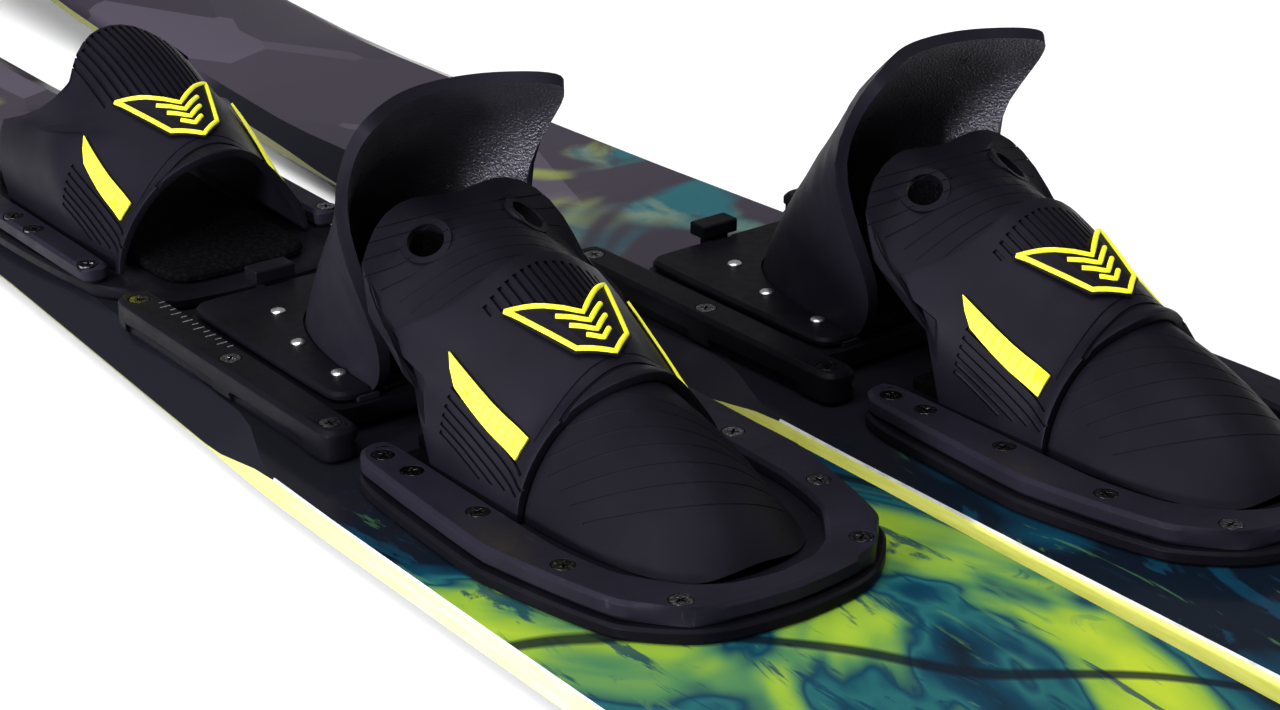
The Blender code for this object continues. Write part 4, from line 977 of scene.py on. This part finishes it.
# %% Finishes of the CAD nodes
finish_of = {
    "fin": FIN_PLASTIC, "badge": OVERLAY_RUBBER,
    "front_footbed": FOAM, "footpad": FOAM, "heel_pad": FOAM,
}
for name, node in nodes.items():
    kind = name.split("_", 1)[1]
    dress(node, finish_of.get(kind, PLASTIC))
print("dressed", len(nodes), "nodes")

# %% [markdown]
# Badge relief
#
# The badge is a black arrowhead patch with a raised yellow border and chevrons. Both are soft beads
# that follow the patch's own skin.

# %% Badge relief
BADGE_OUTLINE = [
    (BADGE_WING_X, -BADGE_WING_Y), (BADGE_NOTCH_X, 0), (BADGE_WING_X, BADGE_WING_Y),
    (246.3, 12.5), (255.5, 0), (246.3, -12.5),
]
BEAD_INSET, BEAD_WIDTH = 1.9, 2.2
# Each chevron is its tip_x and half width.
CHEVRONS = ((237.6, 10.0), (242.0, 8.0), (246.2, 5.0))
CHEVRON_SWEEP = 0.75
ABOVE_BADGE_Z = 70


def inset_outline(outline, distance):
    """The outline moved inwards towards its middle."""
    middle = Vector((sum(x for x, _ in outline), sum(y for _, y in outline))) / len(outline)
    corners = [Vector(corner) for corner in outline]
    return [corner + (middle - corner).normalized() * distance for corner in corners]


def drop_line(node, place, first, second, steps):
    """Points on the node's skin straight under the line between two places (x, y) of the binding."""
    return cast_line(node, place, (*first, ABOVE_BADGE_Z), (*second, ABOVE_BADGE_Z), (0, 0, -1), steps)


for prefix, place, body in BINDINGS:
    node = nodes[prefix + "_badge"]
    corners = inset_outline(BADGE_OUTLINE, BEAD_INSET)
    border = []
    for first, second in zip(corners, corners[1:] + corners[:1]):
        border += drop_line(node, place, first, second, 8)[:-1]
    border.append(border[0])
    chevrons = []
    for tip_x, half in CHEVRONS:
        wing_x = tip_x - CHEVRON_SWEEP * half
        near = drop_line(node, place, (wing_x, -half), (tip_x, 0), 6)
        far = drop_line(node, place, (tip_x, 0), (wing_x, half), 6)
        chevrons.append(near + far[1:])
    beads = [border] + [chevron for chevron in chevrons if len(chevron) > 3]
    relief = tube(prefix + "_badge_relief", beads, BEAD_WIDTH, 3)
    smooth(relief, 60)
    dress(relief, NEON)
    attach(relief, body)
    print(relief.name, len(relief.data.polygons), "faces")

# %% [markdown]
# Stripe bars
#
# The neon stripes carry shallow slanted bars, so that the bright surface isn't plain. Fine grooves
# that cross the stripe at a slant part the bars.

# %% Stripe bars
BAR_GROOVE_COUNT = 9
BAR_GROOVE_START, BAR_GROOVE_STEP = 6.0, 4.6
BAR_GROOVE_LOW, BAR_GROOVE_RISE, BAR_GROOVE_SLANT = 1.6, 4.6, 1.6
BAR_GROOVE_WIDTH = 0.7
stripes = [
    (prefix + "_stripe_" + hand, place, body, side)
    for prefix, place, body in BINDINGS
    for hand, side in (("left", 1), ("right", -1))
]
bar_start, bar_end = STRIPE_LOW_LINE
bar_run = (bar_end - bar_start).normalized()
bar_up = Vector((-bar_run.z, 0, bar_run.x))
for node_name, place, body, side in stripes:
    stripe = merged_copy(node_name, node_name + "_barred")
    bpy.context.view_layer.update()
    lines = []
    for number in range(BAR_GROOVE_COUNT):
        along = BAR_GROOVE_START + BAR_GROOVE_STEP * number
        low = bar_start + bar_run * along + bar_up * BAR_GROOVE_LOW
        high = low + bar_up * BAR_GROOVE_RISE - bar_run * BAR_GROOVE_SLANT
        low.y = high.y = side * STRIPE_Y
        lines.append(cast_line(stripe, place, low, high, (0, -side, 0), 6))
    cut = cut_lines(stripe, lines, BAR_GROOVE_WIDTH)
    dress(stripe, NEON)
    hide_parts(node_name)
    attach(stripe, body)
    print(stripe.name, cut, "grooves,", len(stripe.data.polygons), "faces")

# %% [markdown]
# Screws
#
# Thirty-eight cross-head screws hold the rails and frames. Each sits in a counterbore, so only
# its low dome shows. One is modelled: a disc whose top is inset and raised step by step to a dome,
# with a cross cut into it. The others are copies with their own mesh.

# %% Screw
SCREW_RADIUS = 0.0042
SCREW_DISC = 0.0012
# Each step of the dome is its inset and its rise.
DOME_STEPS = ((0.0005, 0.0007), (0.0008, 0.0006), (0.0010, 0.00035), (0.0008, 0.00012))
CROSS_BAR = (0.0046, 0.0009, 0.0024)
CROSS_Z = 0.0029
SCREW_EDGE = 0.00012
SCREW_SEAT_Z = -2.45
# Each screw stops at another angle, and so do the two of a pair.
SCREW_TURN, PAIR_TURN = 0.7, 0.4


def screw_head():
    bpy.ops.object.select_all(action="DESELECT")
    bpy.ops.mesh.primitive_cylinder_add(
        vertices=28, radius=SCREW_RADIUS, depth=SCREW_DISC, location=(0, 0, SCREW_DISC / 2)
    )
    head = bpy.context.object
    head.name = "screw_pattern"
    for polygon in head.data.polygons:
        polygon.select = polygon.normal.z > 0.9
    bpy.ops.object.mode_set(mode="EDIT")
    for inset, rise in DOME_STEPS:
        bpy.ops.mesh.inset(thickness=inset, depth=0)
        bpy.ops.transform.translate(value=(0, 0, rise))
    bpy.ops.object.mode_set(mode="OBJECT")
    for turn in (0, math.pi / 2):
        bpy.ops.object.select_all(action="DESELECT")
        bpy.ops.mesh.primitive_cube_add(size=1, location=(0, 0, CROSS_Z), rotation=(0, 0, turn))
        bar = bpy.context.object
        bar.scale = CROSS_BAR
        cut = head.modifiers.new("cross", "BOOLEAN")
        cut.operation = "DIFFERENCE"
        cut.solver = "EXACT"
        cut.object = bar
        apply_modifiers(head)
        bpy.data.objects.remove(bar, do_unlink=True)
    soften = head.modifiers.new("soften", "BEVEL")
    soften.width = SCREW_EDGE
    soften.segments = 1
    soften.limit_method = "ANGLE"
    soften.angle_limit = math.radians(50)
    apply_modifiers(head)
    smooth(head, SMOOTH_UNDER)
    return head


def copies(pattern, prefix, places, finish):
    """Puts a copy at each (frame, binding place, turn, body), with its place in its own mesh."""
    for number, (place, spot, turn, body) in enumerate(places):
        mesh = pattern.data.copy()
        mesh.transform(Matrix.Translation(place @ Vector(spot)) @ Matrix.Rotation(turn, 4, "Z"))
        made = bpy.data.objects.new(f"{prefix}_{number + 1:02d}", mesh)
        scene.collection.objects.link(made)
        dress(made, finish)
        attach(made, body)
    bpy.data.objects.remove(pattern, do_unlink=True)
    return len(places)


screw_places = []
front_screws = RAIL_SCREWS + FRAME_SCREWS
screw_rows = ((FRAME_A, "ski_a", front_screws + REAR_SCREWS), (FRAME_B, "ski_b", front_screws))
for place, body, spots in screw_rows:
    for i, (x, y) in enumerate(spots):
        screw_places.append((place, (x, -y, SCREW_SEAT_Z), SCREW_TURN * i, body))
        screw_places.append((place, (x, y, SCREW_SEAT_Z), SCREW_TURN * i + PAIR_TURN, body))
print(copies(screw_head(), "screw", screw_places, SCREW_STEEL), "screws")

# %% [markdown]
# Rivets
#
# Six rivets hold the heel cup's flange under each slider plate. A rivet head is a low dome, so a
# sphere is flattened and its lower half is cut off with a bisect.

# %% Rivets
RIVET_RADIUS = 0.0031
RIVET_FLATNESS = 0.42
RIVET_CUT_Z = -0.0002
RIVET_SPOTS = ((49.0, 22.6), (82.0, 32.6), (117.5, 35.3))
RIVET_SEAT_Z = 1.62


def rivet_head():
    bpy.ops.object.select_all(action="DESELECT")
    bpy.ops.mesh.primitive_uv_sphere_add(segments=24, ring_count=14, radius=RIVET_RADIUS)
    head = bpy.context.object
    bpy.ops.transform.resize(value=(1, 1, RIVET_FLATNESS))
    bpy.ops.object.transform_apply(location=True, rotation=True, scale=True)
    bpy.ops.object.mode_set(mode="EDIT")
    bpy.ops.mesh.select_all(action="SELECT")
    bpy.ops.mesh.bisect(
        plane_co=(0, 0, RIVET_CUT_Z), plane_no=(0, 0, 1), clear_inner=True, use_fill=True
    )
    bpy.ops.object.mode_set(mode="OBJECT")
    smooth(head, SMOOTH_UNDER)
    return head


rivet_places = []
for prefix, place, _ in FRONT_BINDINGS:
    for x, y in RIVET_SPOTS:
        for side in (-1, 1):
            rivet_places.append((place, (x, side * y, RIVET_SEAT_Z), 0.0, "heel_" + prefix))
print(copies(rivet_head(), "rivet", rivet_places, RIVET_STEEL), "rivets")

# %% [markdown]
# Size ticks
#
# Grey ticks on the near rail show how far the heel slider is set. They are short and long by turns.

# %% Size ticks
TICK_COUNT = 13
TICK_SIZE = (0.0005, 0.001, 0.0002)
TICK_STEP = 4.76
TICK_START = (9, -53.4, 0.08)
SHORT_TICK, LONG_TICK = 2.6, 4.6
bpy.ops.object.select_all(action="DESELECT")
bpy.ops.mesh.primitive_cube_add(size=1)
tick = bpy.context.object
bpy.ops.transform.resize(value=TICK_SIZE)
bpy.ops.object.transform_apply(location=True, rotation=True, scale=True)
for i in range(TICK_COUNT):
    length = LONG_TICK if i % 2 else SHORT_TICK
    spot = Vector(TICK_START) + Vector((TICK_STEP * i, -length / 2, 0))
    mesh = tick.data.copy()
    mesh.transform(Matrix.Translation(FRAME_A @ spot) @ Matrix.Diagonal((1, length, 1, 1)))
    made = bpy.data.objects.new(f"size_tick_{i + 1:02d}", mesh)
    scene.collection.objects.link(made)
    dress(made, TICK_PAINT)
    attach(made, "ski_a")
bpy.data.objects.remove(tick, do_unlink=True)
print(TICK_COUNT, "ticks")

# %% Final update
bpy.context.view_layer.update()
